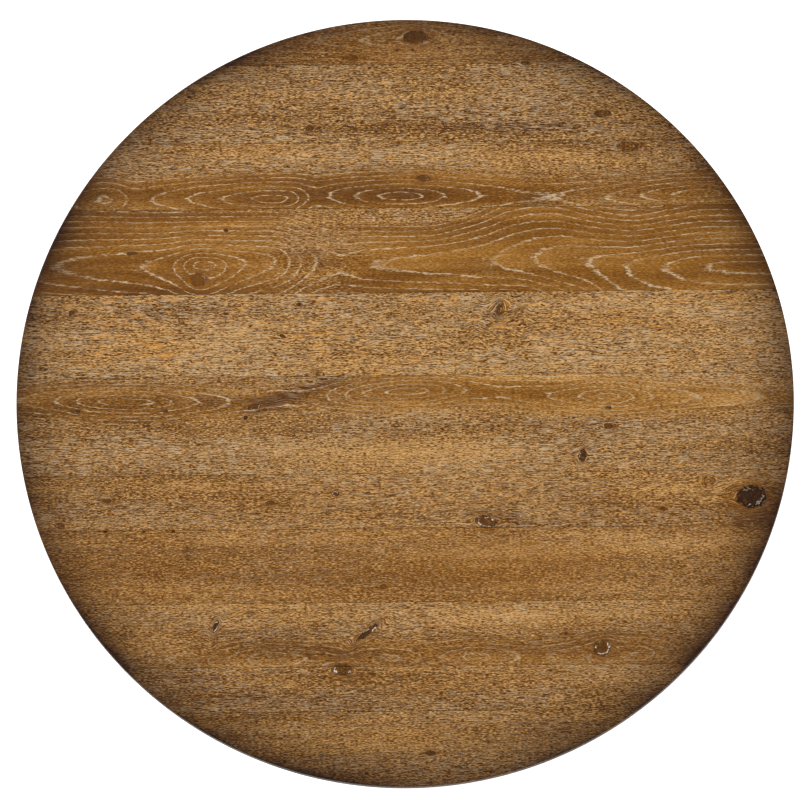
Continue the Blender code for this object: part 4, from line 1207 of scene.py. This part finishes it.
def make_camera():
    """A long lens, turned about its own axis so that the boards lie nearly level in the picture."""
    azimuth, elevation = math.radians(CAMERA_AZIMUTH), math.radians(CAMERA_ELEVATION)
    back = Vector(
        (
            math.sin(azimuth) * math.cos(elevation),
            -math.cos(azimuth) * math.cos(elevation),
            math.sin(elevation),
        )
    )
    right = Vector((math.cos(azimuth), math.sin(azimuth), 0))
    up = back.cross(right)
    roll = math.radians(CAMERA_ROLL)
    turned_right = right * math.cos(roll) - up * math.sin(roll)
    turned_up = right * math.sin(roll) + up * math.cos(roll)
    aim = Vector((0, 0, TABLE_HEIGHT)) + turned_right * CAMERA_AIM[0] + turned_up * CAMERA_AIM[1]
    place = aim + back * CAMERA_DISTANCE
    lens = bpy.data.cameras.new("camera")
    lens.lens = CAMERA_LENS
    lens.sensor_width = CAMERA_SENSOR
    camera = bpy.data.objects.new("camera", lens)
    bpy.context.scene.collection.objects.link(camera)
    turned = Matrix((turned_right, turned_up, back)).transposed().to_4x4()
    camera.matrix_world = Matrix.Translation(place) @ turned
    bpy.context.scene.camera = camera


def make_stage():
    """A pale floor, a large soft key light at the rear left, a fill at the front right and a white sky."""
    scene = bpy.context.scene
    scene.view_settings.view_transform = "Standard"
    size = FLOOR_HALF
    points = np.array([(-size, -size, 0), (size, -size, 0), (size, size, 0), (-size, size, 0)], float)
    floor = bpy.data.objects.new("floor", build_mesh("floor", points, np.array([[0, 1, 2, 3]])))
    scene.collection.objects.link(floor)
    material, _, shader = new_material("pale_floor", 0.2)
    shader.inputs["Base Color"].default_value = (0.93, 0.93, 0.93, 1)
    shader.inputs["Roughness"].default_value = 0.9
    shader.inputs["Emission Color"].default_value = (1, 1, 1, 1)
    shader.inputs["Emission Strength"].default_value = FLOOR_GLOW
    floor.data.materials.append(material)
    world = bpy.data.worlds.new("studio")
    world.use_nodes = True
    world.node_tree.nodes["Background"].inputs["Color"].default_value = (1, 1, 1, 1)
    world.node_tree.nodes["Background"].inputs["Strength"].default_value = SKY_STRENGTH
    scene.world = world
    for name, place, power, width in (
        ("key", (-2.6, 3.0, 3.6), 230.0, 2.2),
        ("fill", (3.2, -1.6, 3.4), 90.0, 2.6),
    ):
        light = bpy.data.lights.new(name, "AREA")
        light.energy = power
        light.size = width
        lamp = bpy.data.objects.new(name, light)
        lamp.location = place
        aim = Vector((0, 0, LIGHT_AIM_HEIGHT)) - Vector(place)
        lamp.rotation_euler = aim.to_track_quat("-Z", "Y").to_euler()
        scene.collection.objects.link(lamp)


# ---------------------------------------------------------------- assembly


def finish_nodes():
    """Gives each CAD node that stays its own finish."""
    zinc = zinc_steel()
    black = speckled("black_powder_coat", (0.022, 0.022, 0.023), (0.07, 0.068, 0.065), 0.42, 900)
    nylon = speckled("moulded_nylon", (0.030, 0.028, 0.026), (0.06, 0.056, 0.050), 0.50, 1400)
    wood = {
        "batten": straight_oak("oak_batten", 90, -0.10),
        "bearer_lower": straight_oak("oak_bearer_lower", 45, -0.08),
        "bearer_upper": straight_oak("oak_bearer_upper", -45, -0.12),
        "hub": straight_oak("oak_hub", 45, -0.04),
    }
    for name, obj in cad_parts.items():
        finish = zinc
        if name == "base_plate":
            finish = black
        elif name.startswith("glide_pad"):
            finish = nylon
        else:
            for start, oak in wood.items():
                if name.startswith(start) and "screw" not in name:
                    finish = oak
        obj.data.materials.clear()
        obj.data.materials.append(finish)


oak_grain_group()
oak_colour_group()
OAK_TOP = carried_oak("limed_oak_top")
OAK_BASE = carried_oak("limed_oak_base")
finish_nodes()
for board_index in range(BOARD_COUNT):
    make_board(board_index, OAK_TOP)
make_turned("column", *column_outline(), OAK_BASE, 1)
make_cap(OAK_BASE)
for seed, (corner_name, corner_degrees) in enumerate(CORNERS.items()):
    make_foot(corner_name, corner_degrees, OAK_BASE, seed + 4)
make_camera()
make_stage()
